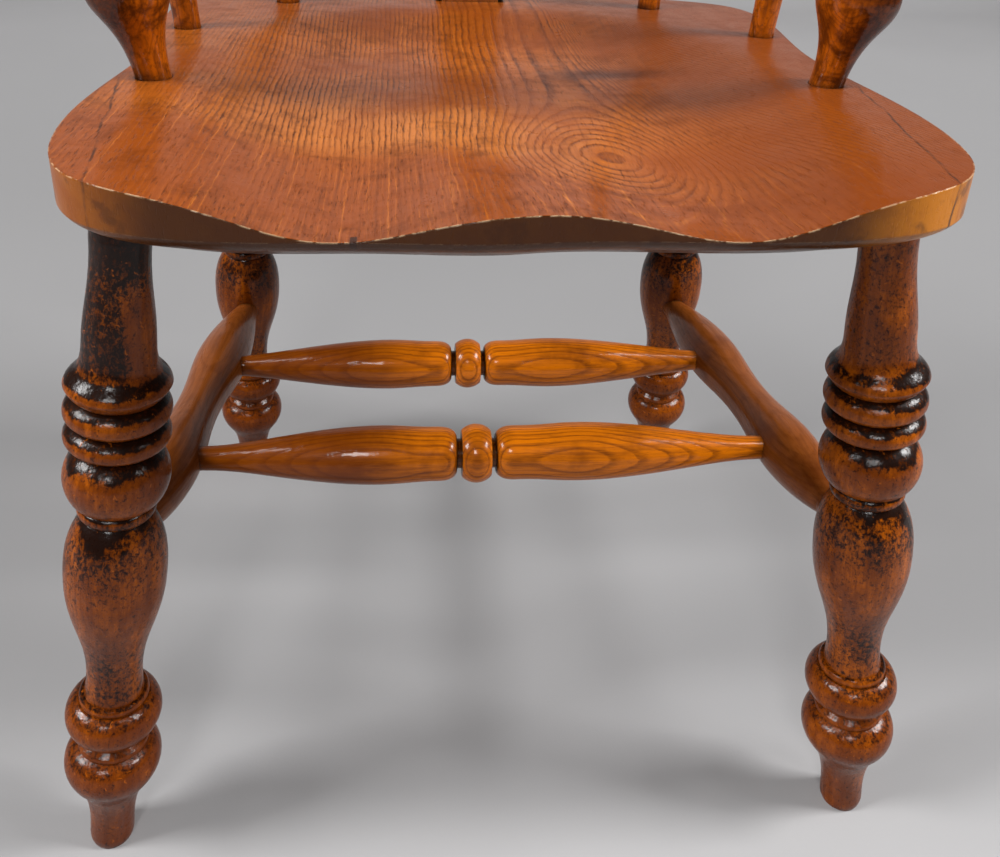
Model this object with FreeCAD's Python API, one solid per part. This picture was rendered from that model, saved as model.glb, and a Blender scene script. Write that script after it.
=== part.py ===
"""A low-backed windsor armchair: a saddled seat on four splayed legs, and a sawn bow on posts and spindles.

X runs to the sitter's left, which is the right of the front view, Y to the back and Z up, in millimetres.
Every turned piece is a profile of (radius, height) points, revolved and then laid along its own axis.
"""
import FreeCAD, Part
import math
import os
from FreeCAD import Vector

# Fits
glue_gap = 0.12
socket_floor_gap = 0.5
tip_chamfer = 1.2
same_place = 0.01

# Small steps and plain ends where one turned form meets the next
step_width = 0.8
step_set_in = 0.6
step_flare = 1.2
step_rise = 0.2
vase_step_rise = 0.3
ring_step_rise = 1.0
edge_rise = 0.4
post_edge_rise = 0.6
rod_foot_length = 3.0
spindle_neck_length = 3.0
post_neck_length = 4.0

# Seat board, seen from above: front edge, corners, waist, hips and back edge
seat_front_y = -272.0
seat_front_bow = 3.0
seat_front_half = 210.0
seat_corner_radius = 72.0
seat_waist_half = 206.0
seat_waist_y = -25.0
seat_hip_half = 219.0
seat_hip_y = 84.0
seat_back_y = 184.0
seat_back_half = 128.0
seat_back_corner = 56.0

# Seat board, seen from the front: underside, rim, and what is carved out of the top
seat_under_z = 412.5
seat_rim_z = 455.5
seat_blank_spare = 12.0
seat_belly_inset = 48.0
seat_face_height = 20.0
dish_depth = 15.0
dish_half_width = 178.0
dish_front_y = -330.0
dish_back_y = 128.0
dish_squareness = 2.6
dish_fullness = 1.15
dish_front_share = 0.6
dish_front_reach = 120.0
thigh_dip_depth = 16.0
thigh_dip_x = 88.0
thigh_dip_width = 52.0
thigh_dip_reach = 210.0
pommel_x = 1.0

# Side strips glued on to make up the width of the board
strip_front_width = 28.0
strip_front_inset = 25.0
strip_length = 159.0

# Legs: how far in from the seat's edges their heads are, and how far their feet stand out from their heads
front_leg_side_inset = 25.8
front_leg_end_inset = 69.7
front_splay_out = 53.3
front_splay_forward = 3.8
rear_leg_side_inset = 44.2
rear_leg_end_inset = 81.0
rear_splay_out = 25.5
rear_splay_back = 71.8
leg_socket_depth = 24.0
socket_mouth_depth = 3.0

# Turning of a leg, from the floor up
peg_height = 40.5
peg_radius = 13.0
peg_round = 6.0
foot_ball_height = 44.0
foot_ball_radius = 27.6
foot_groove_radius = 17.0
foot_fillet_height = 4.0
foot_fillet_radius = 19.6
foot_groove_height = 6.0
bead_height = 26.0
bead_radius = 26.9
bead_fillet_height = 5.0
bead_fillet_radius = 19.4
vase_height = 127.0
vase_neck_radius = 15.3
vase_radius = 26.9
vase_top_radius = 17.8
neck_ring_height = 9.0
neck_ring_radius = 20.0
ball_height = 34.0
ball_radius = 26.8
ball_groove_radius = 16.5
collar_pitch = 15.6
collar_radius = 26.3
collar_groove_radius = 20.6
flange_height = 17.0
flange_radius = 26.0
waist_radius = 17.4
leg_top_radius = 14.2
leg_hollow = 1.1

# Side stretchers, from a front leg to a rear leg
side_front_z = 221.0
side_rear_z = 196.5
side_tenon_radius = 9.2
side_tenon_past_axis = 5.0
side_socket_inset = 4.0
side_swell_radius = 18.8
side_waist_radius = 14.6
side_stub_clearance = 3.6
side_waist_spread = 4.0
front_cross_share = 0.27
rear_cross_share = 0.635

# Cross stretchers, between the two side stretchers
cross_tenon_radius = 7.6
cross_tenon_past_axis = 1.5
cross_stub_clearance = 1.0
cross_body_radius = 18.5
cross_shoulder_radius = 14.8
cross_groove_radius = 9.5
cross_groove_width = 3.0
cross_edge_drop = 1.5
cross_edge_rise = 0.5
cross_shoulder_run = 2.0
cross_bead_radius = 18.7
cross_bead_width = 19.5
front_cross_slender = 0.22
front_cross_bead_x = -7.0
rear_cross_slender = 0.08
rear_cross_bead_x = -4.0

# Arm posts
post_side_inset = 17.0
post_y = -94.0
post_lean_out = 9.2
post_lean_forward = 3.0
post_stub_radius = 9.6
post_bulb_radius = 22.6
post_bulb_height = 50.5
post_bulb_fall = 38.0
post_neck_radius = 10.6
post_ring_radius = 17.0
post_ring_height = 9.0
post_vase_radius = 17.6
post_socket_depth = 26.0
wedge_thickness = 2.6
wedge_tip_thickness = 0.8
wedge_depth = 19.0

# Spindles: two a side, and the flat splat in the middle of the back
side_spindle_inset = 23.0
side_spindle_y = 36.0
side_spindle_lean_out = 5.5
side_spindle_lean_back = 3.0
back_spindle_spread = 12.0
back_spindle_inset = 49.0
back_spindle_lean_out = 3.5
back_spindle_lean_back = 6.0
spindle_stub_radius = 8.6
spindle_swell_radius = 12.6
spindle_ring_radius = 13.2
spindle_ring_width = 9.0
spindle_socket_depth = 20.0
spindle_top_depth = 16.0
splat_inset = 31.0
splat_lean_back = 10.0
splat_thickness = 11.0
splat_foot_width = 54.0
splat_waist_width = 44.0
splat_shoulder_width = 104.0
splat_head_width = 78.0
splat_tenon_depth = 14.0
splat_tenon_shoulder = 5.0
splat_shoulder_gap = 0.15
splat_tenon_root = 1.0
splat_mortise_mouth = 2.0
splat_hole_radius = 17.0
splat_hole_up = 150.0
splat_slot_radius = 9.0
splat_slot_foot_radius = 4.0
splat_slot_length = 42.0
splat_slot_up = 56.0

# Bow: two sawn arms that meet behind the splat, and the crest rail over the joint
arm_under_z = 687.5
arm_thickness = 27.0
arm_back_width = 50.0
arm_side_width = 46.0
arm_grip_radius = 33.0
arm_edge_round = 6.0
bow_behind_splat = 2.1
bow_hip_out = 18.7
bow_hip_forward = 6.0
bow_side_out = 8.5
bow_side_back = 19.0
grip_out = 11.5
grip_forward = 22.0
crest_half_length = 176.0
crest_width = 40.0
crest_height = 66.0
crest_end_height = 16.0
crest_edge_round = 9.0
crest_set_back = 3.0
screw_x_inner = 52.0
screw_x_outer = 118.0
screw_shank_radius = 2.4
screw_head_radius = 4.8
screw_head_edge = 0.6
screw_length = 46.0
screw_point_length = 6.0
screw_head_sink = 2.0
screw_slot_width = 1.1
screw_slot_depth = 1.2


def edge_through(points):
    """Two points make a line, three an arc and more a smooth curve."""
    if len(points) == 2:
        return Part.makeLine(*points)
    if len(points) == 3:
        return Part.Arc(*points).toShape()
    curve = Part.BSplineCurve()
    curve.interpolate(points)
    return curve.toShape()


def turned(strokes):
    """Solid of revolution about Z. Each stroke of (radius, height) points starts where the last one ended."""
    edges = [edge_through([Vector(r, 0, h) for r, h in stroke]) for stroke in strokes]
    first = strokes[0][0]
    last = strokes[-1][-1]
    edges.append(Part.makeLine(Vector(last[0], 0, last[1]), Vector(0, 0, last[1])))
    edges.append(Part.makeLine(Vector(0, 0, last[1]), Vector(0, 0, first[1])))
    edges.append(Part.makeLine(Vector(0, 0, first[1]), Vector(first[0], 0, first[1])))
    face = Part.Face(Part.Wire(Part.__sortEdges__(edges)))
    return Part.Solid(face.revolve(Vector(0, 0, 0), Vector(0, 0, 1), 360))


def laid(shape, base, tip):
    """A shape built along Z from the origin, moved so that it runs from base towards tip."""
    moved = shape.copy()
    moved.Placement = FreeCAD.Placement(base, FreeCAD.Rotation(Vector(0, 0, 1), tip - base))
    return moved


def mirrored(shape):
    """The same piece on the other side of the chair."""
    return shape.mirror(Vector(0, 0, 0), Vector(1, 0, 0))


def round_socket(radius, start, end, past):
    """A round hole from start to just past end, wider than its tenon by the glue gap."""
    along = end - start
    length = along.Length + past
    return Part.makeCylinder(radius + glue_gap, length, start, along)


def space_under(height):
    """All the room to the right of the middle, from the floor up to a height."""
    wide = 2 * seat_hip_half
    return Part.makeBox(wide, 2 * wide, height, Vector(0, -wide, 0))


def between(a, b, share):
    """The point at that share of the way from a to b."""
    return a + (b - a) * share


def smooth(value):
    """A step from 0 to 1 with level ends."""
    value = max(0.0, min(1.0, value))
    return value * value * (3 - 2 * value)


# Axes of the right-hand legs and stretchers
front_top = Vector(seat_front_half - front_leg_side_inset, seat_front_y + front_leg_end_inset, seat_under_z)
front_foot = Vector(front_top.x + front_splay_out, front_top.y - front_splay_forward, 0)
rear_top = Vector(seat_hip_half - rear_leg_side_inset, seat_back_y - rear_leg_end_inset, seat_under_z)
rear_foot = Vector(rear_top.x + rear_splay_out, rear_top.y + rear_splay_back, 0)
side_inward = Vector(-side_socket_inset, 0, 0)
side_front = between(front_foot, front_top, side_front_z / seat_under_z) + side_inward
side_rear = between(rear_foot, rear_top, side_rear_z / seat_under_z) + side_inward
front_cross_end = between(side_front, side_rear, front_cross_share)
rear_cross_end = between(side_front, side_rear, rear_cross_share)


def leaning(x, y, out, back):
    """Foot on the seat's rim and head at the arm's underside, from angles out to the side and to the back."""
    rise = arm_under_z - seat_rim_z
    foot = Vector(x, y, seat_rim_z)
    return foot, foot + Vector(rise * math.tan(math.radians(out)), rise * math.tan(math.radians(back)), rise)


# Axes of the right-hand post and spindles, the middle of the splat, and the line of the bow over their heads
post_foot, post_head = leaning(
    seat_waist_half - post_side_inset, post_y, post_lean_out, -post_lean_forward
)
side_spindle_foot, side_spindle_head = leaning(
    seat_hip_half - side_spindle_inset, side_spindle_y, side_spindle_lean_out, side_spindle_lean_back
)
back_spindle_foot, back_spindle_head = leaning(
    seat_back_half + back_spindle_spread,
    seat_back_y - back_spindle_inset,
    back_spindle_lean_out,
    back_spindle_lean_back,
)
splat_foot, splat_head = leaning(0, seat_back_y - splat_inset, 0, splat_lean_back)
bow_back = Vector(0, splat_head.y + bow_behind_splat, 0)
bow_hip = Vector(
    (back_spindle_head.x + side_spindle_head.x) / 2 + bow_hip_out,
    (back_spindle_head.y + side_spindle_head.y) / 2 - bow_hip_forward,
    0,
)
bow_side_middle = Vector(
    (side_spindle_head.x + post_head.x) / 2 + bow_side_out,
    (side_spindle_head.y + post_head.y) / 2 + bow_side_back,
    0,
)
grip_middle = Vector(post_head.x + grip_out, post_head.y - grip_forward, 0)


def carried_on(foot, head, beyond):
    """The point beyond head on the line from foot."""
    return head + (head - foot).normalize() * beyond


def leg_profile(length):
    """Strokes of a leg of that length, from the floor to the blind end of its socket in the seat."""
    peg = peg_height
    ball = peg + foot_ball_height
    fillet = ball + foot_fillet_height
    fillet_middle = ball + foot_fillet_height / 2
    groove = fillet + foot_groove_height
    groove_floor = fillet + 0.4 * foot_groove_height
    bead = groove + bead_height
    bead_edge = groove + 0.1 * bead_height
    step = bead + bead_fillet_height
    step_middle = bead + bead_fillet_height / 2
    vase = step + vase_height
    ring = vase + neck_ring_height
    big = ring + ball_height
    big_edge = big + 0.1 * collar_pitch
    low_collar = big + collar_pitch
    mid_collar = low_collar + collar_pitch
    flange_edge = mid_collar + 0.42 * flange_height
    flange = mid_collar + flange_height
    cove = flange + flange_height
    end = length + leg_socket_depth
    taper = (waist_radius - leg_top_radius) / (length - cove)
    end_radius = leg_top_radius - taper * leg_socket_depth
    middle = (cove + length) / 2
    middle_radius = (waist_radius + leg_top_radius) / 2 - leg_hollow
    deep = foot_groove_radius
    high_fillet = bead_fillet_radius - step_flare
    low_vase = vase_neck_radius + step_flare
    return [
        [
            (peg_radius - peg_round, -peg_round),
            (peg_radius - 0.3 * peg_round, -0.2 * peg_round),
            (peg_radius, peg_round),
        ],
        [
            (peg_radius, peg_round),
            (peg_radius * 1.02, 0.6 * peg),
            (peg_radius * 1.22, peg),
            (0.7 * foot_ball_radius, peg + 0.22 * foot_ball_height),
            (0.91 * foot_ball_radius, peg + 0.46 * foot_ball_height),
            (foot_ball_radius, peg + 0.69 * foot_ball_height),
            (0.92 * foot_ball_radius, peg + 0.88 * foot_ball_height),
            (foot_fillet_radius, ball),
        ],
        [
            (foot_fillet_radius, ball),
            (foot_fillet_radius * 1.03, fillet_middle),
            (foot_fillet_radius, fillet),
        ],
        [(foot_fillet_radius, fillet), (deep, groove_floor)],
        [(deep, groove_floor), (deep, groove)],
        [(deep, groove), (0.8 * bead_radius, bead_edge)],
        [
            (0.8 * bead_radius, bead_edge),
            (0.95 * bead_radius, groove + 0.32 * bead_height),
            (bead_radius, groove + 0.56 * bead_height),
            (0.93 * bead_radius, groove + 0.82 * bead_height),
            (bead_fillet_radius + step_width, bead),
        ],
        [(bead_fillet_radius + step_width, bead), (bead_fillet_radius - step_set_in, bead + step_rise)],
        [
            (bead_fillet_radius - step_set_in, bead + step_rise),
            (bead_fillet_radius, step_middle),
            (high_fillet, step),
        ],
        [(high_fillet, step), (low_vase, step + vase_step_rise)],
        [
            (low_vase, step + vase_step_rise),
            (vase_neck_radius, step + 0.14 * vase_height),
            (vase_neck_radius * 1.14, step + 0.29 * vase_height),
            (0.84 * vase_radius, step + 0.45 * vase_height),
            (0.975 * vase_radius, step + 0.6 * vase_height),
            (vase_radius, step + 0.7 * vase_height),
            (0.95 * vase_radius, step + 0.85 * vase_height),
            (vase_top_radius, vase),
        ],
        [(vase_top_radius, vase), (vase_top_radius - step_width, vase + ring_step_rise)],
        [
            (vase_top_radius - step_width, vase + ring_step_rise),
            (neck_ring_radius, (vase + ring) / 2),
            (vase_top_radius, ring),
        ],
        [
            (vase_top_radius, ring),
            (0.78 * ball_radius, ring + 0.05 * ball_height),
            (0.95 * ball_radius, ring + 0.27 * ball_height),
            (ball_radius, ring + 0.52 * ball_height),
            (0.91 * ball_radius, ring + 0.78 * ball_height),
            (ball_groove_radius, big),
        ],
        [(ball_groove_radius, big), (ball_groove_radius, big_edge)],
        collar_stroke(big_edge, low_collar, ball_groove_radius),
        collar_stroke(low_collar, mid_collar, collar_groove_radius),
        [
            (collar_groove_radius, mid_collar),
            (0.93 * flange_radius, mid_collar + 0.22 * flange_height),
            (flange_radius, flange_edge),
        ],
        [
            (flange_radius, flange_edge),
            (0.94 * flange_radius, mid_collar + 0.64 * flange_height),
            (0.8 * flange_radius, mid_collar + 0.88 * flange_height),
            (waist_radius * 1.04, flange + 0.3 * flange_height),
            (waist_radius, cove),
            (middle_radius, middle),
            (leg_top_radius, length - socket_mouth_depth),
        ],
        [(leg_top_radius, length - socket_mouth_depth), (end_radius, end)],
    ]


def collar_stroke(low, high, low_radius):
    """One ring of the triple collar: a rounded edge that leans up to a dark groove."""
    pitch = high - low
    return [
        (low_radius, low),
        (0.9 * collar_radius, low + 0.16 * pitch),
        (0.985 * collar_radius, low + 0.34 * pitch),
        (collar_radius, low + 0.52 * pitch),
        (0.965 * collar_radius, low + 0.72 * pitch),
        (collar_groove_radius, high),
    ]


def turned_leg(foot, top):
    """A leg from the floor up into the seat, with its peg foot trimmed level."""
    blank = laid(turned(leg_profile((top - foot).Length)), foot, top)
    return blank.common(space_under(seat_rim_z))


def leg_socket(foot, top):
    """The tapered blind hole that a leg's head is glued into."""
    length = (top - foot).Length
    profile = leg_profile(length)[-1]
    (low_radius, low), (high_radius, high) = profile
    cone = Part.makeCone(low_radius + glue_gap, high_radius + glue_gap, high - low)
    floor = Part.makeCylinder(high_radius + glue_gap, socket_floor_gap, Vector(0, 0, high - low))
    along = (top - foot).normalize()
    return laid(cone.fuse(floor), foot + along * low, top)


def side_stretcher_blank():
    """A stout stretcher with a swelling at each cross stretcher and a slight waist between them."""
    span = (side_rear - side_front).Length
    past = side_tenon_past_axis
    stub = vase_radius + side_stub_clearance
    swell = side_swell_radius
    front_swell = front_cross_share * span
    rear_swell = rear_cross_share * span
    waist = (front_swell + rear_swell) / 2
    low_waist = (front_swell + waist) / 2 + side_waist_spread
    high_waist = (rear_swell + waist) / 2 - side_waist_spread
    flank = side_waist_radius + 0.3 * (swell - side_waist_radius)
    front_rise = front_swell - stub
    rear_fall = span - stub - rear_swell
    tenon = side_tenon_radius
    profile = [
        [(tenon - tip_chamfer, -past), (tenon, tip_chamfer - past)],
        [(tenon, tip_chamfer - past), (tenon, stub)],
        [
            (tenon, stub),
            (tenon + 0.38 * (swell - tenon), stub + 0.2 * front_rise),
            (tenon + 0.86 * (swell - tenon), stub + 0.6 * front_rise),
            (swell, front_swell),
            (flank, low_waist),
            (side_waist_radius, waist),
            (flank, high_waist),
            (swell, rear_swell),
            (tenon + 0.84 * (swell - tenon), rear_swell + 0.42 * rear_fall),
            (tenon + 0.3 * (swell - tenon), rear_swell + 0.82 * rear_fall),
            (tenon, span - stub),
        ],
        [(tenon, span - stub), (tenon, span + past - tip_chamfer)],
        [(tenon, span + past - tip_chamfer), (tenon - tip_chamfer, span + past)],
    ]
    return laid(turned(profile), side_front, side_rear)


def cross_half(stub, slender):
    """Strokes of one half of a cross stretcher, from the bead out to where its tenon starts at stub."""
    bead = cross_bead_width / 2
    groove = bead + cross_groove_width
    body = stub - groove
    tenon = cross_tenon_radius
    swell = cross_body_radius - tenon
    tip = stub + side_swell_radius + cross_stub_clearance + cross_tenon_past_axis
    return [
        [(cross_groove_radius, bead), (cross_groove_radius, groove)],
        [
            (cross_groove_radius, groove),
            (cross_shoulder_radius - cross_edge_drop, groove + cross_edge_rise),
            (cross_shoulder_radius, groove + cross_shoulder_run),
            (0.93 * cross_body_radius, groove + 0.09 * body),
            (cross_body_radius, groove + 0.26 * body),
            (0.95 * cross_body_radius, groove + 0.46 * body),
            (tenon + (0.5 - slender / 2) * swell, groove + 0.74 * body),
            (tenon + (0.16 - slender / 2) * swell, groove + 0.92 * body),
            (tenon, stub),
        ],
        [(tenon, stub), (tenon, tip - tip_chamfer)],
        [(tenon, tip - tip_chamfer), (tenon - tip_chamfer, tip)],
    ]


def cross_stretcher(end, slender, bead_x):
    """A cross stretcher: two long swelling halves with a bead between two burnt grooves near the middle."""
    stub = end.x - side_swell_radius - cross_stub_clearance
    bead = cross_bead_width / 2
    edge = bead - edge_rise
    edge_radius = 0.8 * cross_bead_radius
    right = cross_half(stub - bead_x, slender)
    left = [
        [(radius, -along) for radius, along in reversed(stroke)]
        for stroke in reversed(cross_half(stub + bead_x, slender))
    ]
    middle = [
        [(cross_groove_radius, -bead), (edge_radius, -edge)],
        [(edge_radius, -edge), (cross_bead_radius, 0), (edge_radius, edge)],
        [(edge_radius, edge), (cross_groove_radius, bead)],
    ]
    centre = Vector(bead_x, end.y, end.z)
    return laid(turned(left + middle + right), centre, centre + Vector(1, 0, 0))


def seat_outline(z, inset):
    """The closed outline of the seat at a height, drawn in from its widest line by an inset."""
    front = seat_front_y + inset
    half = seat_front_half - inset
    corner = seat_corner_radius - 0.9 * inset
    nip = corner * (1 - math.sqrt(0.5))
    back_half = seat_back_half - 0.3 * inset
    hip = seat_hip_half - inset
    back = seat_back_y - inset
    side = [
        (0, front),
        (0.5 * (half - corner), front + 0.2 * seat_front_bow),
        (half - corner, front + seat_front_bow),
        (half - nip, front + seat_front_bow + nip),
        (half, front + seat_front_bow + corner),
        (seat_waist_half - inset, seat_waist_y),
        (hip, seat_hip_y),
        (hip - 0.24 * seat_back_corner, back - 0.62 * seat_back_corner),
        (0.5 * (hip + back_half) - 0.12 * seat_back_corner, back - 0.24 * seat_back_corner),
        (back_half, back - 0.06 * seat_back_corner),
    ]
    right = [Vector(x, y, z) for x, y in side]
    left = [Vector(-p.x, p.y, z) for p in reversed(right[1:])]
    curve = Part.BSplineCurve()
    curve.interpolate(Points=right + [Vector(0, back, z)] + left, PeriodicFlag=True)
    return Part.Wire([curve.toShape()])


def seat_top(x, y):
    """Height of the carved top: a dish, and two hollows for the thighs that leave the pommel between them."""
    middle = (dish_front_y + dish_back_y) / 2
    reach = (dish_back_y - dish_front_y) / 2
    away = (abs(x) / dish_half_width) ** dish_squareness + (abs(y - middle) / reach) ** dish_squareness
    deepening = dish_front_share + (1 - dish_front_share) * smooth((y - seat_front_y) / dish_front_reach)
    dish = dish_depth * smooth(dish_fullness * (1 - away)) * deepening
    forward = smooth((seat_front_y + thigh_dip_reach - y) / thigh_dip_reach)
    off_centre = x - pommel_x
    dips = [math.exp(-(((off_centre - side * thigh_dip_x) / thigh_dip_width) ** 2)) for side in (-1, 1)]
    return seat_rim_z - dish - thigh_dip_depth * sum(dips) * forward


def saddle_cutter():
    """Everything above the carved top of the seat."""
    span_x = seat_hip_half + seat_blank_spare
    low_y = seat_front_y - seat_blank_spare
    high_y = seat_back_y + seat_blank_spare
    columns = 33
    rows = 25
    grid = [
        [
            Vector(x, y, seat_top(x, y))
            for y in (low_y + (high_y - low_y) * j / (rows - 1) for j in range(rows))
        ]
        for x in (-span_x + 2 * span_x * i / (columns - 1) for i in range(columns))
    ]
    surface = Part.BSplineSurface()
    surface.interpolate(grid)
    return surface.toShape().extrude(Vector(0, 0, 4 * seat_blank_spare))


def seat_blank():
    """The board before joinery: a rounded belly under a standing face, with the top carved to the saddle."""
    face_z = seat_rim_z - seat_face_height
    belly = face_z - seat_under_z
    steps = [(0.0, 1.0), (0.36, 0.5), (0.66, 0.19), (0.86, 0.05), (1.0, 0.0)]
    under = [seat_outline(seat_under_z + belly * up, seat_belly_inset * share) for up, share in steps]
    lower = Part.makeLoft(under, True, False)
    upper = Part.Face(seat_outline(face_z, 0)).extrude(Vector(0, 0, seat_face_height + seat_blank_spare))
    return lower.fuse(upper).removeSplitter().cut(saddle_cutter())


def strip_region():
    """The space to the right of the glued seam of the right-hand side strip."""
    front = Vector(seat_front_half - strip_front_width, seat_front_y + strip_front_inset, 0)
    back = Vector((seat_front_half + seat_waist_half) / 2, front.y + strip_length, 0)
    along = (back - front).normalize()
    wide = Vector(seat_hip_half, 0, 0)
    low = front - along * seat_hip_half
    high = back + along * seat_corner_radius
    corners = [low, high, high + wide, low + wide, low]
    return Part.Face(Part.makePolygon(corners)).extrude(Vector(0, 0, 2 * seat_rim_z))


def seat_sockets():
    """Every hole in the seat: tapered for the legs, round for posts and spindles, flat for the splat."""
    holes = []
    for foot, top in ((front_foot, front_top), (rear_foot, rear_top)):
        holes.append(leg_socket(foot, top))
    rods = (
        (post_foot, post_head, post_stub_radius, post_socket_depth),
        (side_spindle_foot, side_spindle_head, spindle_stub_radius, spindle_socket_depth),
        (back_spindle_foot, back_spindle_head, spindle_stub_radius, spindle_socket_depth),
    )
    for foot, head, radius, depth in rods:
        bottom = carried_on(head, foot, depth)
        holes.append(round_socket(radius, between(foot, head, 0.1), bottom, socket_floor_gap))
    holes += [mirrored(hole) for hole in holes]
    holes.append(splat_tenon_slot(-1))
    return holes


def rod_blank(foot, head, strokes):
    """A turned post or spindle whose profile starts at zero where its axis meets the seat's rim."""
    return laid(turned(strokes), foot, head)


def post_profile():
    """An arm post: a full bulb low down, a double ring, then a slimmer vase up to the arm."""
    length = (post_head - post_foot).Length
    stub = post_stub_radius
    top = length + arm_thickness / math.cos(math.radians(post_lean_out))
    bulb = post_bulb_height
    neck = bulb + post_bulb_fall
    ring = neck + post_ring_height
    second = ring + 0.7 * post_ring_height
    vase = length - second
    return [
        [(stub - tip_chamfer, -post_socket_depth), (stub, tip_chamfer - post_socket_depth)],
        [(stub, tip_chamfer - post_socket_depth), (stub, rod_foot_length)],
        [
            (stub, rod_foot_length),
            (stub + 0.06 * (post_bulb_radius - stub), 0.26 * bulb),
            (stub + 0.32 * (post_bulb_radius - stub), 0.53 * bulb),
            (stub + 0.64 * (post_bulb_radius - stub), 0.71 * bulb),
            (stub + 0.94 * (post_bulb_radius - stub), 0.89 * bulb),
            (post_bulb_radius, bulb),
            (0.88 * post_bulb_radius, bulb + 0.32 * post_bulb_fall),
            (1.3 * post_neck_radius, bulb + 0.68 * post_bulb_fall),
            (post_neck_radius, neck),
        ],
        [(post_neck_radius, neck), (0.9 * post_ring_radius, neck + post_edge_rise)],
        [
            (0.9 * post_ring_radius, neck + post_edge_rise),
            (post_ring_radius, (neck + ring) / 2),
            (0.86 * post_ring_radius, ring - edge_rise),
        ],
        [(0.86 * post_ring_radius, ring - edge_rise), (0.7 * post_ring_radius, ring)],
        [
            (0.7 * post_ring_radius, ring),
            (0.84 * post_ring_radius, (ring + second) / 2),
            (post_neck_radius, second),
        ],
        [
            (post_neck_radius, second),
            (0.86 * post_vase_radius, second + 0.2 * vase),
            (post_vase_radius, second + 0.38 * vase),
            (0.9 * post_vase_radius, second + 0.58 * vase),
            (1.12 * stub, second + 0.82 * vase),
            (stub, length - post_neck_length),
        ],
        [(stub, length - post_neck_length), (stub, top + stub)],
    ]


def arm_post():
    """The right-hand arm post, cut flush with the top of the arm and slotted for its wedge."""
    blank = rod_blank(post_foot, post_head, post_profile())
    return blank.common(space_under(arm_under_z + arm_thickness)).cut(wedge_solid(glue_gap))


def wedge_solid(gap):
    """The thin wedge driven into the post's head across the grain of the arm, grown by a gap all round."""
    half = wedge_thickness / 2 + gap
    tip = wedge_tip_thickness / 2 + gap
    depth = wedge_depth + gap
    reach = 2 * post_stub_radius
    corners = [
        Vector(-reach, -half, reach),
        Vector(-reach, half, reach),
        Vector(-reach, half, 0),
        Vector(-reach, tip, -depth),
        Vector(-reach, -tip, -depth),
        Vector(-reach, -half, 0),
        Vector(-reach, -half, reach),
    ]
    along = post_head - post_foot
    top = carried_on(post_foot, post_head, arm_thickness / math.cos(math.radians(post_lean_out)))
    bar = Part.Face(Part.makePolygon(corners)).extrude(Vector(2 * reach, 0, 0))
    bar = laid(bar, top, top + along)
    rod = Part.makeCylinder(post_stub_radius, 2 * arm_thickness, between(post_foot, post_head, 0.95), along)
    return bar.common(rod).common(space_under(arm_under_z + arm_thickness))


def spindle_profile(foot, head):
    """A plain spindle that swells below a small ring and tapers to both ends."""
    length = (head - foot).Length
    stub = spindle_stub_radius
    swell = spindle_swell_radius
    ring = 0.58 * length
    wide = spindle_ring_width / 2
    edge = wide - edge_rise
    edge_radius = 0.84 * spindle_ring_radius
    ring_root = 0.72 * swell
    low = -spindle_socket_depth
    top = length + spindle_top_depth
    return [
        [(stub - tip_chamfer, low), (stub, low + tip_chamfer)],
        [(stub, low + tip_chamfer), (stub, rod_foot_length)],
        [
            (stub, rod_foot_length),
            (stub + 0.2 * (swell - stub), 0.14 * length),
            (stub + 0.78 * (swell - stub), 0.3 * length),
            (swell, 0.42 * length),
            (0.9 * swell, 0.51 * length),
            (ring_root, ring - wide),
        ],
        [(ring_root, ring - wide), (edge_radius, ring - edge)],
        [(edge_radius, ring - edge), (spindle_ring_radius, ring), (edge_radius, ring + edge)],
        [(edge_radius, ring + edge), (ring_root, ring + wide)],
        [
            (ring_root, ring + wide),
            (0.94 * swell, 0.68 * length),
            (0.9 * swell, 0.78 * length),
            (0.98 * stub, 0.92 * length),
            (stub, length - spindle_neck_length),
        ],
        [(stub, length - spindle_neck_length), (stub, top - tip_chamfer)],
        [(stub, top - tip_chamfer), (stub - tip_chamfer, top)],
    ]


def spindle(foot, head):
    """A right-hand spindle."""
    return rod_blank(foot, head, spindle_profile(foot, head))


def splat_frame(shape):
    """A splat shape drawn in its own upright plane, leaned back about its foot on the seat."""
    moved = shape.copy()
    moved.rotate(Vector(0, 0, 0), Vector(1, 0, 0), -splat_lean_back)
    moved.translate(splat_foot)
    return moved


def splat_height():
    """Length of the splat between the seat and the bow, along its own lean."""
    return (arm_under_z - seat_rim_z) / math.cos(math.radians(splat_lean_back))


def splat_slab(outline, gap=0.0):
    """A flat piece of the splat's thickness from closed edges drawn in X and Z."""
    depth = splat_thickness + 2 * gap
    face = Part.Face(Part.Wire(Part.__sortEdges__(outline)))
    slab = face.extrude(Vector(0, depth, 0))
    slab.translate(Vector(0, -depth / 2, 0))
    return slab


def box_edges(half, low, high):
    """The four edges of an upright rectangle."""
    corners = [Vector(-half, 0, low), Vector(half, 0, low), Vector(half, 0, high), Vector(-half, 0, high)]
    return [Part.makeLine(corners[i], corners[(i + 1) % 4]) for i in range(4)]


def splat_tenon_slot(end):
    """The mortise for the splat's foot, end -1, or for its head, end 1."""
    height = splat_height()
    if end < 0:
        half = splat_foot_width / 2 - splat_tenon_shoulder
        low = -splat_tenon_depth - socket_floor_gap
        high = 2 * splat_tenon_depth
    else:
        half = splat_head_width / 2 - splat_tenon_shoulder
        low = height - splat_mortise_mouth
        high = height + splat_tenon_depth + socket_floor_gap
    return splat_frame(splat_slab(box_edges(half + glue_gap, low, high), glue_gap))


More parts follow.
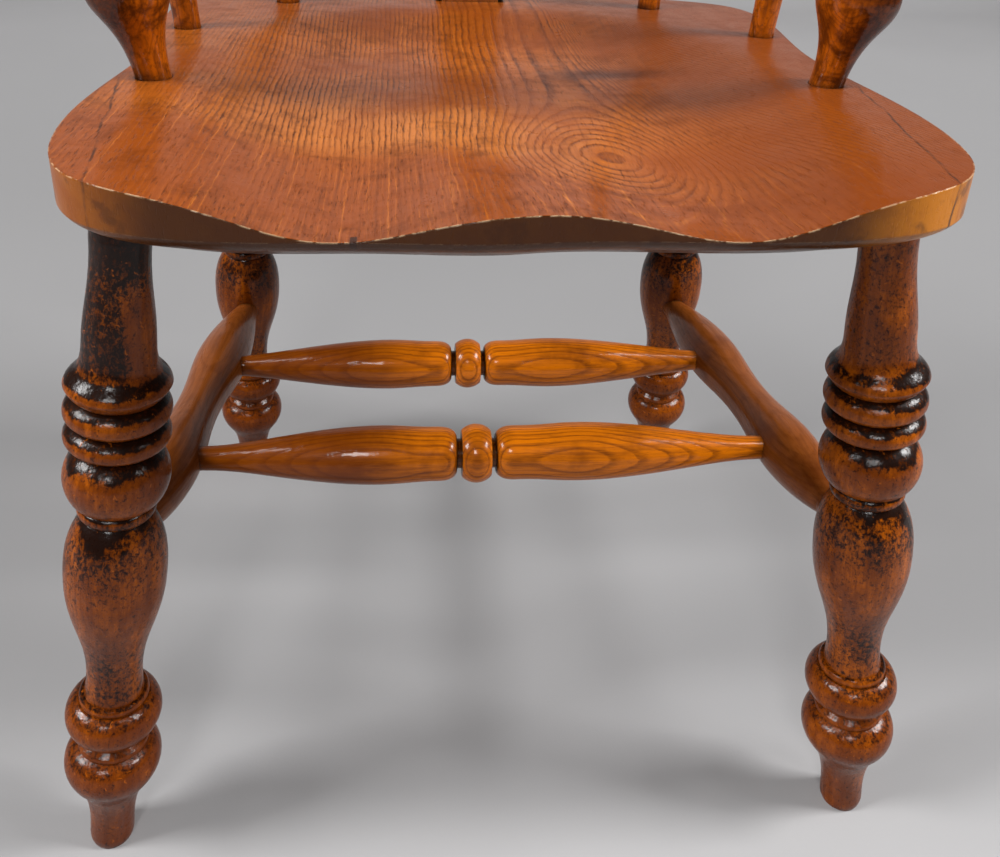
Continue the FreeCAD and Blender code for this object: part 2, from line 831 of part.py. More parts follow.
def splat():
    """The vase-shaped splat, pierced by a round hole and a tall slot, with a tenon at each end."""
    height = splat_height()
    tilt = splat_thickness / 2 * math.tan(math.radians(splat_lean_back)) + splat_shoulder_gap
    low = tilt
    high = height - tilt
    side = [
        (splat_foot_width / 2, low),
        (0.52 * splat_waist_width, 0.14 * height),
        (0.58 * splat_waist_width, 0.26 * height),
        (0.9 * splat_shoulder_width / 2, 0.46 * height),
        (splat_shoulder_width / 2, 0.62 * height),
        (0.86 * splat_shoulder_width / 2, 0.78 * height),
        (0.66 * splat_shoulder_width / 2, 0.9 * height),
        (splat_head_width / 2, high),
    ]
    right = [Vector(x, 0, z) for x, z in side]
    left = [Vector(-x, 0, z) for x, z in side]
    edges = [
        edge_through(right),
        edge_through(left),
        Part.makeLine(left[0], right[0]),
        Part.makeLine(left[-1], right[-1]),
    ]
    body = splat_slab(edges)
    foot_half = splat_foot_width / 2 - splat_tenon_shoulder
    foot = splat_slab(box_edges(foot_half, -splat_tenon_depth, low + splat_tenon_root))
    head_half = splat_head_width / 2 - splat_tenon_shoulder
    head = splat_slab(box_edges(head_half, high - splat_tenon_root, height + splat_tenon_depth))
    body = body.fuse([foot, head]).removeSplitter()
    return splat_frame(body.cut(splat_piercing()))


def splat_piercing():
    """The round hole and the tapered slot below it, as solids that pass right through the splat."""
    reach = Vector(0, 2 * splat_thickness, 0)
    start = Vector(0, -splat_thickness, 0)
    eye = Part.makeCylinder(splat_hole_radius, reach.y, start + Vector(0, 0, splat_hole_up), reach)
    wide = splat_slot_radius
    narrow = splat_slot_foot_radius
    low = splat_slot_up
    high = splat_slot_up + splat_slot_length
    foot = [Vector(-narrow, 0, low), Vector(0, 0, low - narrow), Vector(narrow, 0, low)]
    head = [Vector(wide, 0, high), Vector(0, 0, high + wide), Vector(-wide, 0, high)]
    edges = [
        edge_through(foot),
        Part.makeLine(foot[-1], head[0]),
        edge_through(head),
        Part.makeLine(head[-1], foot[0]),
    ]
    slot = Part.Face(Part.Wire(edges)).extrude(reach)
    slot.translate(start)
    return [eye, slot]


def bow_points():
    """The middle line of the right-hand half of the bow, from the back centre to the hand grip."""
    drop = bow_back.y - bow_hip.y
    return [
        bow_back,
        Vector(0.42 * bow_hip.x, bow_back.y - 0.1 * drop, 0),
        Vector(0.8 * bow_hip.x, bow_back.y - 0.48 * drop, 0),
        bow_hip,
        between(bow_hip, bow_side_middle, 0.55),
        bow_side_middle,
        grip_middle,
    ]


def bow_curve():
    """A smooth line through the bow's points that crosses the middle of the back squarely."""
    points = bow_points()
    curve = Part.BSplineCurve()
    curve.interpolate(Points=points, InitialTangent=Vector(1, 0, 0), FinalTangent=Vector(-0.05, -1, 0))
    return curve


def bow_side(curve, half_widths, side, stop=1.0):
    """Points beside the bow's middle line, at half-widths given from the back centre to the grip."""
    points = []
    first, last = curve.FirstParameter, curve.LastParameter
    count = len(half_widths)
    for i, half in enumerate(half_widths):
        at = first + (last - first) * stop * i / (count - 1)
        tangent = curve.tangent(at)[0]
        across = Vector(tangent.y, -tangent.x, 0)
        points.append(curve.value(at) + across * (-side * half))
    return points


def arm_plan():
    """The right-hand arm seen from above: a band that widens to a rounded hand grip."""
    curve = bow_curve()
    back = arm_back_width / 2
    side = arm_side_width / 2
    widths = [back, back, back, back, 0.5 * (back + side), side, side, side, side, 0.93 * arm_grip_radius]
    stop = 0.93
    outer = bow_side(curve, widths, 1, stop)
    inner = bow_side(curve, widths[:-1] + [0.6 * arm_grip_radius], -1, stop)
    grip = grip_middle
    nose = grip + Vector(-0.1 * arm_grip_radius, -arm_grip_radius, 0)
    outer_edge = edge_through(outer)
    inner_edge = edge_through(inner)
    round_end = Part.BSplineCurve()
    round_end.interpolate(
        [
            outer[-1],
            grip + Vector(0.99 * arm_grip_radius, -0.1 * arm_grip_radius, 0),
            grip + Vector(0.66 * arm_grip_radius, -0.78 * arm_grip_radius, 0),
            nose,
            grip + Vector(-0.82 * arm_grip_radius, -0.62 * arm_grip_radius, 0),
            grip + Vector(-0.95 * arm_grip_radius, 0.05 * arm_grip_radius, 0),
            inner[-1],
        ]
    )
    edges = [outer_edge, round_end.toShape(), inner_edge, Part.makeLine(inner[0], outer[0])]
    return Part.Wire(Part.__sortEdges__(edges))


def arm_blank():
    """The right-hand arm before its holes, with its edges softened except at the joint in the middle."""
    wire = arm_plan()
    wire.translate(Vector(0, 0, arm_under_z))
    solid = Part.Face(wire).extrude(Vector(0, 0, arm_thickness))
    edges = []
    for edge in solid.Edges:
        level = edge.BoundBox.ZLength < same_place
        if level and edge.BoundBox.XMax > same_place:
            edges.append(edge)
    return solid.makeFillet(arm_edge_round, edges)


def screw_places():
    """The four points on the bow where the crest rail is screwed on, as right-hand points."""
    curve = bow_curve()
    first, last = curve.FirstParameter, curve.LastParameter
    points = []
    for x in (screw_x_inner, screw_x_outer):
        low = first
        high = first + 0.6 * (last - first)
        for _ in range(40):
            middle = (low + high) / 2
            if curve.value(middle).x < x:
                low = middle
            else:
                high = middle
        point = curve.value(low)
        points.append(Vector(point.x, point.y, arm_under_z))
    return points


def screw(place, gap=0.0):
    """A countersunk wood screw driven up from under the bow, grown by a gap when it is a hole."""
    head = screw_head_radius + gap
    shank = screw_shank_radius + gap
    base = screw_head_sink - gap
    edge = screw_head_sink + screw_head_edge
    neck = edge + screw_head_radius - screw_shank_radius
    point = screw_length - screw_point_length + gap
    strokes = [
        [(head, base), (head, edge)],
        [(head, edge), (shank, neck)],
        [(shank, neck), (shank, point)],
        [(shank, point), (screw_slot_width / 4 + gap, screw_length + gap)],
    ]
    solid = turned(strokes)
    if gap:
        solid = solid.fuse(Part.makeCylinder(head, 2 * screw_head_sink, Vector(0, 0, -screw_head_sink)))
    else:
        half = screw_slot_width / 2
        corner = Vector(-2 * head, -half, base - screw_slot_depth)
        solid = solid.cut(Part.makeBox(4 * head, 2 * half, 2 * screw_slot_depth, corner))
    solid.translate(place)
    return solid


def crest_blank():
    """The crest rail: a band on top of the bow whose height falls in a curve to each end."""
    curve = bow_curve()
    half = crest_width / 2
    stop = 0.6
    right_outer = bow_side(curve, [half - crest_set_back] * 8, 1, stop)
    right_inner = bow_side(curve, [half] * 8, -1, stop)
    rims = []
    for right in (right_outer, right_inner):
        left = [Vector(-p.x, p.y, p.z) for p in reversed(right[1:])]
        rims.append(left + right)
    ends = [
        Part.makeLine(rims[0][0], rims[1][0]),
        Part.makeLine(rims[0][-1], rims[1][-1]),
    ]
    wire = Part.Wire(Part.__sortEdges__([edge_through(rims[0]), edge_through(rims[1])] + ends))
    base = arm_under_z + arm_thickness
    wire.translate(Vector(0, 0, base))
    band = Part.Face(wire).extrude(Vector(0, 0, 2 * crest_height))
    reach = crest_half_length
    fall = crest_height - crest_end_height
    top = [
        Vector(-reach, 0, base + crest_end_height),
        Vector(-0.9 * reach, 0, base + crest_end_height + 0.1 * fall),
        Vector(-0.72 * reach, 0, base + crest_end_height + 0.52 * fall),
        Vector(-0.5 * reach, 0, base + crest_end_height + 0.86 * fall),
        Vector(0, 0, base + crest_height),
    ]
    top += [Vector(-p.x, 0, p.z) for p in reversed(top[:-1])]
    left_end = Vector(-reach, 0, base)
    right_end = Vector(reach, 0, base)
    edges = [
        edge_through(top),
        Part.makeLine(left_end, top[0]),
        Part.makeLine(top[-1], right_end),
        Part.makeLine(right_end, left_end),
    ]
    front = Part.Face(Part.Wire(Part.__sortEdges__(edges))).extrude(Vector(0, 2 * bow_back.y, 0))
    rail = band.common(front)
    rims = [e for e in rail.Edges if e.BoundBox.ZMin > base + same_place and e.BoundBox.XLength > reach]
    return rail.makeFillet(crest_edge_round, rims)


def leg_with_socket(foot, top, joint, other_joint):
    """A leg with the blind hole that takes the end of its side stretcher, which comes from other_joint."""
    start = carried_on(joint, other_joint, 2 * vase_radius - (other_joint - joint).Length)
    tip = carried_on(other_joint, joint, side_tenon_past_axis)
    return turned_leg(foot, top).cut(round_socket(side_tenon_radius, start, tip, socket_floor_gap))


def side_stretcher():
    """The right-hand side stretcher with its two holes for the cross stretchers."""
    holes = []
    for end in (front_cross_end, rear_cross_end):
        tip = end + Vector(cross_tenon_past_axis, 0, 0)
        start = end - Vector(2 * side_swell_radius, 0, 0)
        holes.append(round_socket(cross_tenon_radius, start, tip, socket_floor_gap))
    return side_stretcher_blank().cut(holes)


def arm(screw_holes):
    """The right-hand arm with its holes for the post, the spindles, the splat and the screws."""
    through = carried_on(post_foot, post_head, 2 * arm_thickness)
    holes = [
        round_socket(post_stub_radius, between(post_foot, post_head, 0.9), through, 0),
        splat_tenon_slot(1),
    ]
    for foot, head in ((side_spindle_foot, side_spindle_head), (back_spindle_foot, back_spindle_head)):
        tip = carried_on(foot, head, spindle_top_depth)
        holes.append(round_socket(spindle_stub_radius, between(foot, head, 0.9), tip, socket_floor_gap))
    return arm_blank().common(space_under(2 * arm_under_z)).cut(holes + screw_holes)


def seat():
    """The seat board and its two side strips, with every socket cut."""
    blank = seat_blank()
    right = strip_region()
    left = mirrored(right)
    holes = Part.makeCompound(seat_sockets())
    return {
        "seat_board": blank.cut([right, left]).cut(holes),
        "seat_strip_right": blank.common(right).cut(holes),
        "seat_strip_left": blank.common(left).cut(holes),
    }


def build():
    """Every piece of the chair, by name."""
    pieces = {}
    pieces["front_leg_right"] = leg_with_socket(front_foot, front_top, side_front, side_rear)
    pieces["rear_leg_right"] = leg_with_socket(rear_foot, rear_top, side_rear, side_front)
    pieces["side_stretcher_right"] = side_stretcher()
    pieces["arm_post_right"] = arm_post()
    pieces["arm_post_wedge_right"] = wedge_solid(0.0)
    pieces["side_spindle_right"] = spindle(side_spindle_foot, side_spindle_head)
    pieces["back_spindle_right"] = spindle(back_spindle_foot, back_spindle_head)

    screws = [screw(place) for place in screw_places()]
    screw_holes = [screw(place, glue_gap) for place in screw_places()]
    screw_holes += [mirrored(hole) for hole in screw_holes]
    pieces["arm_right"] = arm(screw_holes)
    for name in list(pieces):
        pieces[name.replace("_right", "_left")] = mirrored(pieces[name])

    pieces.update(seat())
    pieces["front_cross_stretcher"] = cross_stretcher(
        front_cross_end, front_cross_slender, front_cross_bead_x
    )
    pieces["rear_cross_stretcher"] = cross_stretcher(
        rear_cross_end, rear_cross_slender, rear_cross_bead_x
    )
    pieces["back_splat"] = splat()
    pieces["crest_rail"] = crest_blank().cut(screw_holes)
    pieces["crest_screws"] = Part.makeCompound(screws + [mirrored(one) for one in screws])
    return pieces


def centred(pieces):
    """The pieces moved so that the chair stands on Z 0 with the middle of its box over the origin."""
    boxes = [shape.optimalBoundingBox(False) for shape in pieces.values()]
    middle_x = (min(b.XMin for b in boxes) + max(b.XMax for b in boxes)) / 2
    middle_y = (min(b.YMin for b in boxes) + max(b.YMax for b in boxes)) / 2
    for shape in pieces.values():
        shape.translate(Vector(-middle_x, -middle_y, 0))
    print("moved by", round(-middle_x, 3), round(-middle_y, 3))
    return pieces


os.makedirs("parts", exist_ok=True)
for name, shape in centred(build()).items():
    box = shape.optimalBoundingBox(False)
    print(name, len(shape.Solids), shape.isValid(), round(shape.Volume / 1000, 1), "cm3", end=" ")
    print([round(v, 1) for v in (box.XMin, box.XMax, box.YMin, box.YMax, box.ZMin, box.ZMax)])
    shape.exportStep("parts/" + name + ".step")
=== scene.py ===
"""A low-backed windsor armchair: its timber finishes, a plain studio floor, soft lamps and the camera.

Every length is in metres, in the chair's own frame: X to the sitter's left, Y to the back and Z up.
"""

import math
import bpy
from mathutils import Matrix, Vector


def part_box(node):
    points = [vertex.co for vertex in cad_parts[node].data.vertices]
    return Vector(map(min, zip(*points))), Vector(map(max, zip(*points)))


bl_info = {
    "name": "Windsor Armchair Finish",
    "version": (1, 0, 0),
    "blender": (4, 5, 0),
    "location": "View3D > Sidebar > Armchair",
    "description": "Timber, polish and wear for a low-backed windsor armchair, with a studio to see it in",
    "category": "Object",
}

import bpy
import numpy as np
from bpy.props import FloatProperty, FloatVectorProperty, PointerProperty
from mathutils import Vector

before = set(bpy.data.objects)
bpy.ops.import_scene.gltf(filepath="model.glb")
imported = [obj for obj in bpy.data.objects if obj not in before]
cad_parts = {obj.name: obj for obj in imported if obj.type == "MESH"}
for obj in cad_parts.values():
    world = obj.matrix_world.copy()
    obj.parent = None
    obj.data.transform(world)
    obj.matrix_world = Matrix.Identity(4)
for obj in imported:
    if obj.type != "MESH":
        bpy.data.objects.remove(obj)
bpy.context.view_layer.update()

SIDES = ("right", "left")
SEAT = ("seat_board", "seat_strip_right", "seat_strip_left")
LEGS = tuple(f"{row}_leg_{side}" for row in ("front", "rear") for side in SIDES)
CROSS_STRETCHERS = ("front_cross_stretcher", "rear_cross_stretcher")
SIDE_STRETCHERS = tuple(f"side_stretcher_{side}" for side in SIDES)
POSTS = tuple(f"arm_post_{side}" for side in SIDES)
SPINDLES = tuple(f"{row}_spindle_{side}" for row in ("side", "back") for side in SIDES)
ARMS = tuple(f"arm_{side}" for side in SIDES)
WEDGES = tuple(f"arm_post_wedge_{side}" for side in SIDES)

# The seat's worn front: its back edge, which lies further forward by a step to the right of the turn
WORN_EDGE = (-0.15, -0.115)
WORN_STEP = 0.06
WORN_TURN = (-0.04, 0.03)

# The painted sheen, a lighter band that stands for light reflected in the seat's dish: its front and back
# edges, its half width, and where it grows faint to the right
SHEEN_FRONT = (-0.19, -0.125)
SHEEN_BACK = (-0.02, -0.09)
SHEEN_HALF = (0.19, 0.07)
SHEEN_RIGHT = (0.08, 0.0)

# Where the seat's ring lines grow strong from the left, and where its wood turns red and dark to the right
RINGS_LEFT = (-0.19, -0.12)
RED_RIGHT = (0.03, 0.14)
DARK_RIGHT = (0.05, 0.13)

# Places on the seat: the painted shadow of an arm post and its reach across and back, the nick in the front
# edge, the strips' seams
SHADOW_PLACE = (0.075, 0.005)
SHADOW_REACH = (0.06, 0.022)
NICK_X = -0.0745
NICK_HALF = (0.0011, 0.0018)
NICK_DEPTH = (-0.2375, -0.239)
SEAM_SLANT = math.radians(9.3)
SEAM_END = (-0.06, -0.09)
SEAM_HALF = (0.0002, 0.001)
SEAM_CLEAR = (0.0015, 0.0025)

# The seat's rings: how much they fan out and between which places, the size of the ovals, how deep the
# tree's heart lies below the ovals, and the length whose square is added to that depth's away from them
RING_FAN = 0.46
FAN_REACH = (-0.03, 0.14)
OVAL_LENGTH = 0.05
OVAL_WIDTH = 0.07
HEART_DEPTH = 0.03
DEPTH_RISE = 0.045

# On the seat's upright edge, from its rim down: where its darker lower part ends, and where the top edge,
# worn and painted with a highlight, starts
FACE_LOWER_DARK = (-0.036, -0.024)
EDGE_WEAR_AND_HIGHLIGHT_DEPTH = (-0.028, -0.022)

# Along that edge: the middle of its dark part, how far from there the dark fades out, where the left corner
# turns red, and where, going back, plain wood takes over and the worn, painted highlight of the top edge
# ends
DARK_MIDDLE = -0.014
DARK_HALF = (0.135, 0.19)
RED_CORNER = (-0.13, -0.19)
FRONT_END = (-0.2, -0.1)

# Radius of the seat's worn edges, and of the edges of the sawn pieces
EDGE_RADIUS = 0.0016
SAWN_EDGE_RADIUS = 0.0015

# Heights on the legs between which the old polish comes and goes; the last pair is where the painted shadow
# of the seat starts and where it is full
FOOT_STAIN = (0.135, 0.11)
RING_TOPS = (0.1, 0.22)
VASE_FOOT = ((0.12, 0.13), (0.15, 0.19))
VASE_TOP = ((0.2, 0.24), (0.253, 0.262))
LEG_HEAD = (0.33, 0.35)
UNDER_SEAT_SHADOW = (0.365, 0.405)

# The worn band on a leg's head: its place beside the leg's middle, and its half width
HEAD_BAND_X = 0.034
HEAD_BAND_HALF = (0.003, 0.008)

# How dark a leg's polish is at its head and how deep the painted shadow of the seat is just under it, and
# how strong its brown streaks are
HEAD_POLISH_AND_SEAT_SHADOW = {"front_leg_left": (0.82, 1.0)}
OTHER_HEADS_AND_SEAT_SHADOW = (0.2, 0.3)
STAIN = {"left": (0.15, 0.75), "right": (0.0, 0.3)}

# Where the cross stretchers' brown stain grows towards their left end
LEFT_STAIN = (-0.02, -0.1)

# Where posts and spindles turn darker going up, and where the arm posts do going outwards
HIGH_STAIN = (0.497, 0.51)
POST_OUTER = (0.198, 0.212)
OUTER_POLISH = 0.85

# Shares of a ring's width between which its dark late wood comes and goes, and where its pale line lies
LATE_WOOD = ((0.45, 0.86), (0.88, 1.0))
PALE_WOOD = 0.2
PALE_HALF = 0.12

# The tree's heart, from the middle of a piece, and how its line leans against the grain
CROSS_HEART = (0.0, 0.062, -0.016)
NO_LEAN = (0.0, 0.0, 0.0)
SIDE_HEART = (0.0, 0.03, -0.05)
SIDE_LEAN = (0.04, 0.0, 0.02)
POST_HEART = (0.02, 0.03, 0.0)
POST_LEAN = (0.12, -0.08, 0.0)
SAWN_HEART = (0.02, 0.03, -0.09)
SAWN_LEAN = (0.05, 0.02, 0.03)

# Share of plain gloss under the varnish of the wood
WOOD_SHINE = 0.06

# Bearing and height in degrees, distance and size of each lamp, the setting for its power, and its share
LAMPS = {
    "right_lamp": (80.0, 36.0, 3.2, 0.95, "right_power", 1.0),
    "left_lamp": (-76.0, 36.0, 3.2, 0.95, "left_power", 1.0),
    "front_lamp": (-12.0, 34.0, 2.2, 0.4, "front_power", 1.0),
    "high_right_lamp": (62.0, 58.0, 2.6, 0.5, "high_power", 1.0),
    "high_left_lamp": (-62.0, 58.0, 2.6, 0.5, "high_power", 0.8),
}
LAMP_AIM = (0.0, 0.0, 0.4)
ROOM_COLOUR = (0.8, 0.8, 0.82, 1.0)

# Between which places the paper's near colour takes over going forward, and its far colour going back:
# painted light and shade, darker under the chair, lighter in front and much lighter at the back, where it
# makes up for the lamps' falloff
NEAR_PAPER = (0.02, -0.28)
FAR_PAPER = (0.7, 2.7)

# The photograph's camera: its place, its turn in degrees, and the shift of its picture
CAMERA_PLACE = (-0.0566, -0.5942, 0.5927)
CAMERA_TURN = (65.448, -1.765, -4.241)
CAMERA_SHIFT = (0.0243, -0.179)


def colour(label, help_text, value):
    """A colour property with the usual range."""
    return FloatVectorProperty(
        name=label, description=help_text, default=value, subtype="COLOR", min=0.0, max=1.0
    )


def length(label, help_text, value):
    """A length property in metres."""
    return FloatProperty(name=label, description=help_text, default=value, unit="LENGTH", min=0.0)


def watts(label, value):
    """The power of a lamp."""
    return FloatProperty(name=label, description="Power in watts", default=value, min=0.0)


class SeatFinish(bpy.types.PropertyGroup):
    """Colours and figure of the carved elm seat."""

    wood: colour("Wood", "Colour between the ring lines of the seat", (0.315, 0.078, 0.008))
    ring: colour("Ring lines", "Colour of the seat's ring lines", (0.042, 0.007, 0.001))
    # A painted sheen: the lighter colour of a band that stands for light reflected in the seat's dish
    painted_sheen: colour("Sat-on wood", "Colour where the seat is worn lighter", (0.52, 0.18, 0.045))
    front: colour("Front wood", "Redder colour of the worn front of the seat", (0.22, 0.046, 0.005))
    streak: colour("Light streaks", "Thin light streaks in the front of the seat", (0.62, 0.19, 0.02))
    # Partly wear, partly a painted highlight along the top edge
    wear_and_highlight: colour("Rubbed edge", "Colour of the worn top edge", (0.85, 0.58, 0.34))
    face: colour("Edge polish", "Colour of the seat's upright edge at its corners", (0.5, 0.16, 0.002))
    # Besides old polish and dirt, this colour paints the shade in the hollows of the seat and the sawn
    # pieces
    shade: colour("Old polish", "Colour of dirt and polish in sheltered places", (0.035, 0.009, 0.002))
    ring_width: length("Ring width", "Distance between the seat's growth rings", 0.0031)
    knot_right: length("Ovals to the right", "How far right of the middle the nested ovals lie", 0.05)
    knot_forward: length("Ovals forward", "How far in front of the middle the nested ovals lie", 0.143)


class TurneryFinish(bpy.types.PropertyGroup):
    """Colours of the turned legs, posts, spindles and stretchers."""

    leg_light: colour("Leg wood", "Worn orange wood of the legs", (0.44, 0.1, 0.002))
    leg_brown: colour("Leg brown", "Red-brown stain of the legs", (0.1, 0.018, 0.001))
    # Old polish, and also the painted shade in grooves, in joints and just under the seat
    leg_shade: colour("Leg polish", "Nearly black old polish on the legs", (0.006, 0.002, 0.001))
    post_light: colour("Post wood", "Bright wood of posts and spindles", (0.4, 0.085, 0.002))
    post_dark: colour("Post figure", "Dark figure of posts and spindles", (0.07, 0.013, 0.001))
    rail_light: colour("Stretcher wood", "Golden wood of the cross stretchers", (0.56, 0.14, 0.002))
    rail_dark: colour("Stretcher rings", "Ring lines of the cross stretchers", (0.12, 0.026, 0.002))
    side_wood: colour("Side stretcher wood", "Plain brown of the side stretchers", (0.26, 0.07, 0.012))
    ring_width: length("Ring width", "Distance between growth rings in the stretchers", 0.0022)
    post_ring_width: length("Post ring width", "Distance between growth rings in the posts", 0.0019)


class StudioSettings(bpy.types.PropertyGroup):
    """Floor, lamps and camera."""

    # The paper's three colours paint light and shade: darker under the chair, lighter in front and at the
    # back
    floor: colour("Floor", "Colour of the paper under the chair", (0.272, 0.268, 0.27))
    near_floor: colour("Near floor", "Colour of the paper in front of the chair", (0.345, 0.34, 0.343))
    far_floor: colour("Far floor", "Colour of the paper at the back", (0.52, 0.512, 0.516))
    right_power: watts("Right lamp", 126.0)
    left_power: watts("Left lamp", 104.0)
    front_power: watts("Front lamp", 15.0)
    high_power: watts("High lamps", 12.0)
    sky: FloatProperty(name="Room light", description="Strength of the even light", default=0.12, min=0.0)
    lens: FloatProperty(name="Lens", description="Focal length in millimetres", default=34.62, min=1.0)


class Recipe:
    """A material written as a chain of formulas; each call adds one step and gives back its result."""

    def __init__(self, name):
        self.material = bpy.data.materials.new(name)
        self.material.use_nodes = True
        self.tree = self.material.node_tree
        self.tree.nodes.clear()

    def step(self, kind, inputs=None, **settings):
        """Adds a step of that kind, with numbers, colours or earlier results as its inputs."""
        node = self.tree.nodes.new("ShaderNode" + kind)
        for key, value in settings.items():
            setattr(node, key, value)
        for key, value in (inputs or {}).items():
            if isinstance(value, bpy.types.NodeSocket):
                self.tree.links.new(value, node.inputs[key])
            elif value is not None:
                node.inputs[key].default_value = value
        return node

    def sum(self, kind, *values):
        """A sum on plain numbers, such as POWER or FRACT."""
        return self.step("Math", dict(enumerate(values)), operation=kind).outputs[0]

    def plus(self, first, second):
        """The two numbers together."""
        return self.sum("ADD", first, second)

    def minus(self, first, second):
        """The first number less the second."""
        return self.sum("SUBTRACT", first, second)

    def times(self, first, *others):
        """The product of the numbers."""
        for other in others:
            first = self.sum("MULTIPLY", first, other)
        return first

    def size(self, value):
        """The number without its sign."""
        return self.sum("ABSOLUTE", value)

    def vector(self, kind, *values):
        """A sum on vectors; LENGTH and DOT_PRODUCT give a number."""
        node = self.step("VectorMath", dict(enumerate(values)), operation=kind)
        return node.outputs["Value" if kind in ("LENGTH", "DOT_PRODUCT") else "Vector"]

    def scaled(self, vector, x, y, z):
        """The vector with each part multiplied."""
        return self.vector("MULTIPLY", vector, (x, y, z))

    def parts(self, vector):
        """The three numbers of a vector."""
        return self.step("SeparateXYZ", {"Vector": vector}).outputs

    def between(self, value, low, high, start=0.0, end=1.0):
        """A soft change from start to end while the value goes from low to high."""
        inputs = {"Value": value, "From Min": low, "From Max": high, "To Min": start, "To Max": end}
        return self.step("MapRange", inputs, interpolation_type="SMOOTHSTEP").outputs[0]

    def within(self, value, rise, fall):
        """1 from the end of the rise to the start of the fall, and 0 well outside them."""
        return self.times(self.between(value, *rise), self.between(value, *fall, 1.0, 0.0))

    def noise(self, vector, scale, detail=3.0, rough=0.55, warp=0.0):
        """Cloudy noise from 0 to 1."""
        inputs = {"Vector": vector, "Scale": scale, "Detail": detail, "Roughness": rough, "Distortion": warp}
        return self.step("TexNoise", inputs).outputs["Fac"]

    def drift(self, vector, scale, amount, detail=2.0):
        """A vector that wanders by up to about the amount."""
        inputs = {"Vector": vector, "Scale": scale, "Detail": detail}
        cloud = self.step("TexNoise", inputs).outputs["Color"]
        return self.scaled(self.vector("SUBTRACT", cloud, (0.5, 0.5, 0.5)), amount, amount, amount)

    def mixed(self, amount, first, second):
        """From the first colour to the second by the amount."""
        pair = [c if isinstance(c, bpy.types.NodeSocket) else (*c, 1.0) for c in (first, second)]
        inputs = {0: amount, 6: pair[0], 7: pair[1]}
        return self.step("Mix", inputs, data_type="RGBA", clamp_factor=True).outputs[2]

    def turned(self, amount, first, second):
        """From the first direction to the second by the amount."""
        return self.step("Mix", {0: amount, 4: first, 5: second}, data_type="VECTOR").outputs[1]

    def layered(self, tint, *layers):
        """The tint with each (amount, colour) laid over it in turn."""
        for amount, top in layers:
            tint = self.mixed(amount, tint, top)
        return tint

    def finished(self, tint, rough, relief, depth, polish, polish_rough, normal=None, shine=0.1):
        """The polished surface itself: colour, roughness and a relief in metres under a clear coat."""
        bump = self.step("Bump", {"Height": relief, "Strength": 1.0, "Distance": depth, "Normal": normal})
        inputs = {
            "Base Color": tint,
            "Roughness": rough,
            "Normal": bump.outputs[0],
            "Coat Weight": polish,
            "Coat Roughness": polish_rough,
            "Coat Normal": bump.outputs[0],
            "Specular IOR Level": shine,
        }
        surface = self.step("BsdfPrincipled", inputs)
        output = self.step("OutputMaterial")
        self.tree.links.new(surface.outputs[0], output.inputs["Surface"])
        return self.material


def node_points(node):
    """All the corner points of a node's mesh as rows."""
    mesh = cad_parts[node].data
    flat = np.empty(len(mesh.vertices) * 3, np.float32)
    mesh.vertices.foreach_get("co", flat)
    return flat.reshape(-1, 3).astype(float)


def grain_line(node):
    """Middle of a piece and the direction in which its points spread most, which is the way of its grain."""
    points = node_points(node)
    middle = (points.min(0) + points.max(0)) / 2
    along = Vector(np.linalg.eigh(np.cov((points - points.mean(0)).T))[1][:, -1])
    if along.z < 0 or (abs(along.z) < 0.3 and along.x + along.y < 0):
        along = -along
    return Vector(middle), along


def grain_place(recipe, node, seed):
    """Places on the piece in the chair's frame, and the same along the grain (its Z), moved by a seed."""
    middle, along = grain_line(node)
    place = recipe.step("TexCoord").outputs["Object"]
    turn = along.to_track_quat("Z", "Y").to_euler()
    inputs = {"Vector": place, "Location": middle, "Rotation": turn}
    local = recipe.step("Mapping", inputs, vector_type="TEXTURE").outputs[0]
    return place, recipe.vector("ADD", local, (0.37 * seed, 0.61 * seed, 0.83 * seed))


def up_facing(recipe):
    """How far the surface faces up, from -1 to 1."""
    return recipe.parts(recipe.step("NewGeometry").outputs["Normal"])[2]


def painted_shade(recipe, reach, low=0.35, high=0.85):
    """Painted shade in grooves and corners: 1 deep in a groove or corner, 0 in the open, by how much of the
    near room is closed in.
    """
    node = recipe.step("AmbientOcclusion", {"Distance": reach}, samples=6)
    return recipe.between(node.outputs["AO"], low, high, 1.0, 0.0)


def rounded_edge(recipe, radius, samples):
    """The surface's direction as if its edges were rounded, its true direction, and how far they differ."""
    edge = recipe.step("Bevel", {"Radius": radius}, samples=samples).outputs[0]
    true_normal = recipe.step("NewGeometry").outputs["Normal"]
    return edge, true_normal, recipe.minus(1.0, recipe.vector("DOT_PRODUCT", edge, true_normal))


def ring_saw(recipe, away, width):
    """Runs from 0 to 1 across each growth ring, by the distance from the tree's heart."""
    return recipe.sum("FRACT", recipe.sum("DIVIDE", away, width))


def late_wood(recipe, saw):
    """The dark line of late wood at the end of each growth ring."""
    return recipe.within(saw, *LATE_WOOD)


def from_heart(recipe, place, node, heart, lean, wander, reach=14.0):
    """Distance from the line of the tree's heart: the length of the cross product with its direction."""
    middle, along = grain_line(node)
    line = (along + Vector(lean)).normalized()
    moved = recipe.vector("ADD", place, recipe.drift(place, reach, wander))
    arm = recipe.vector("SUBTRACT", moved, middle + Vector(heart))
    return recipe.vector("LENGTH", recipe.vector("CROSS_PRODUCT", arm, line))


def fibres(recipe, seeded, across, along):
    """Fine noise drawn out along the grain."""
    return recipe.noise(recipe.scaled(seeded, across, across, along), 1.0, detail=2.0, rough=0.6)


def streaks(recipe, seeded, across, along):
    """Long soft streaks along the grain, from 0 to 1."""
    return recipe.noise(recipe.scaled(seeded, across, across, along), 1.0, detail=4.0, rough=0.6)


def hill(recipe, value, width):
    """1 where the value is 0, falling as the bell curve of that width."""
    square = recipe.sum("POWER", recipe.sum("DIVIDE", recipe.size(value), width), 2.0)
    return recipe.sum("EXPONENT", recipe.times(square, -1.0))


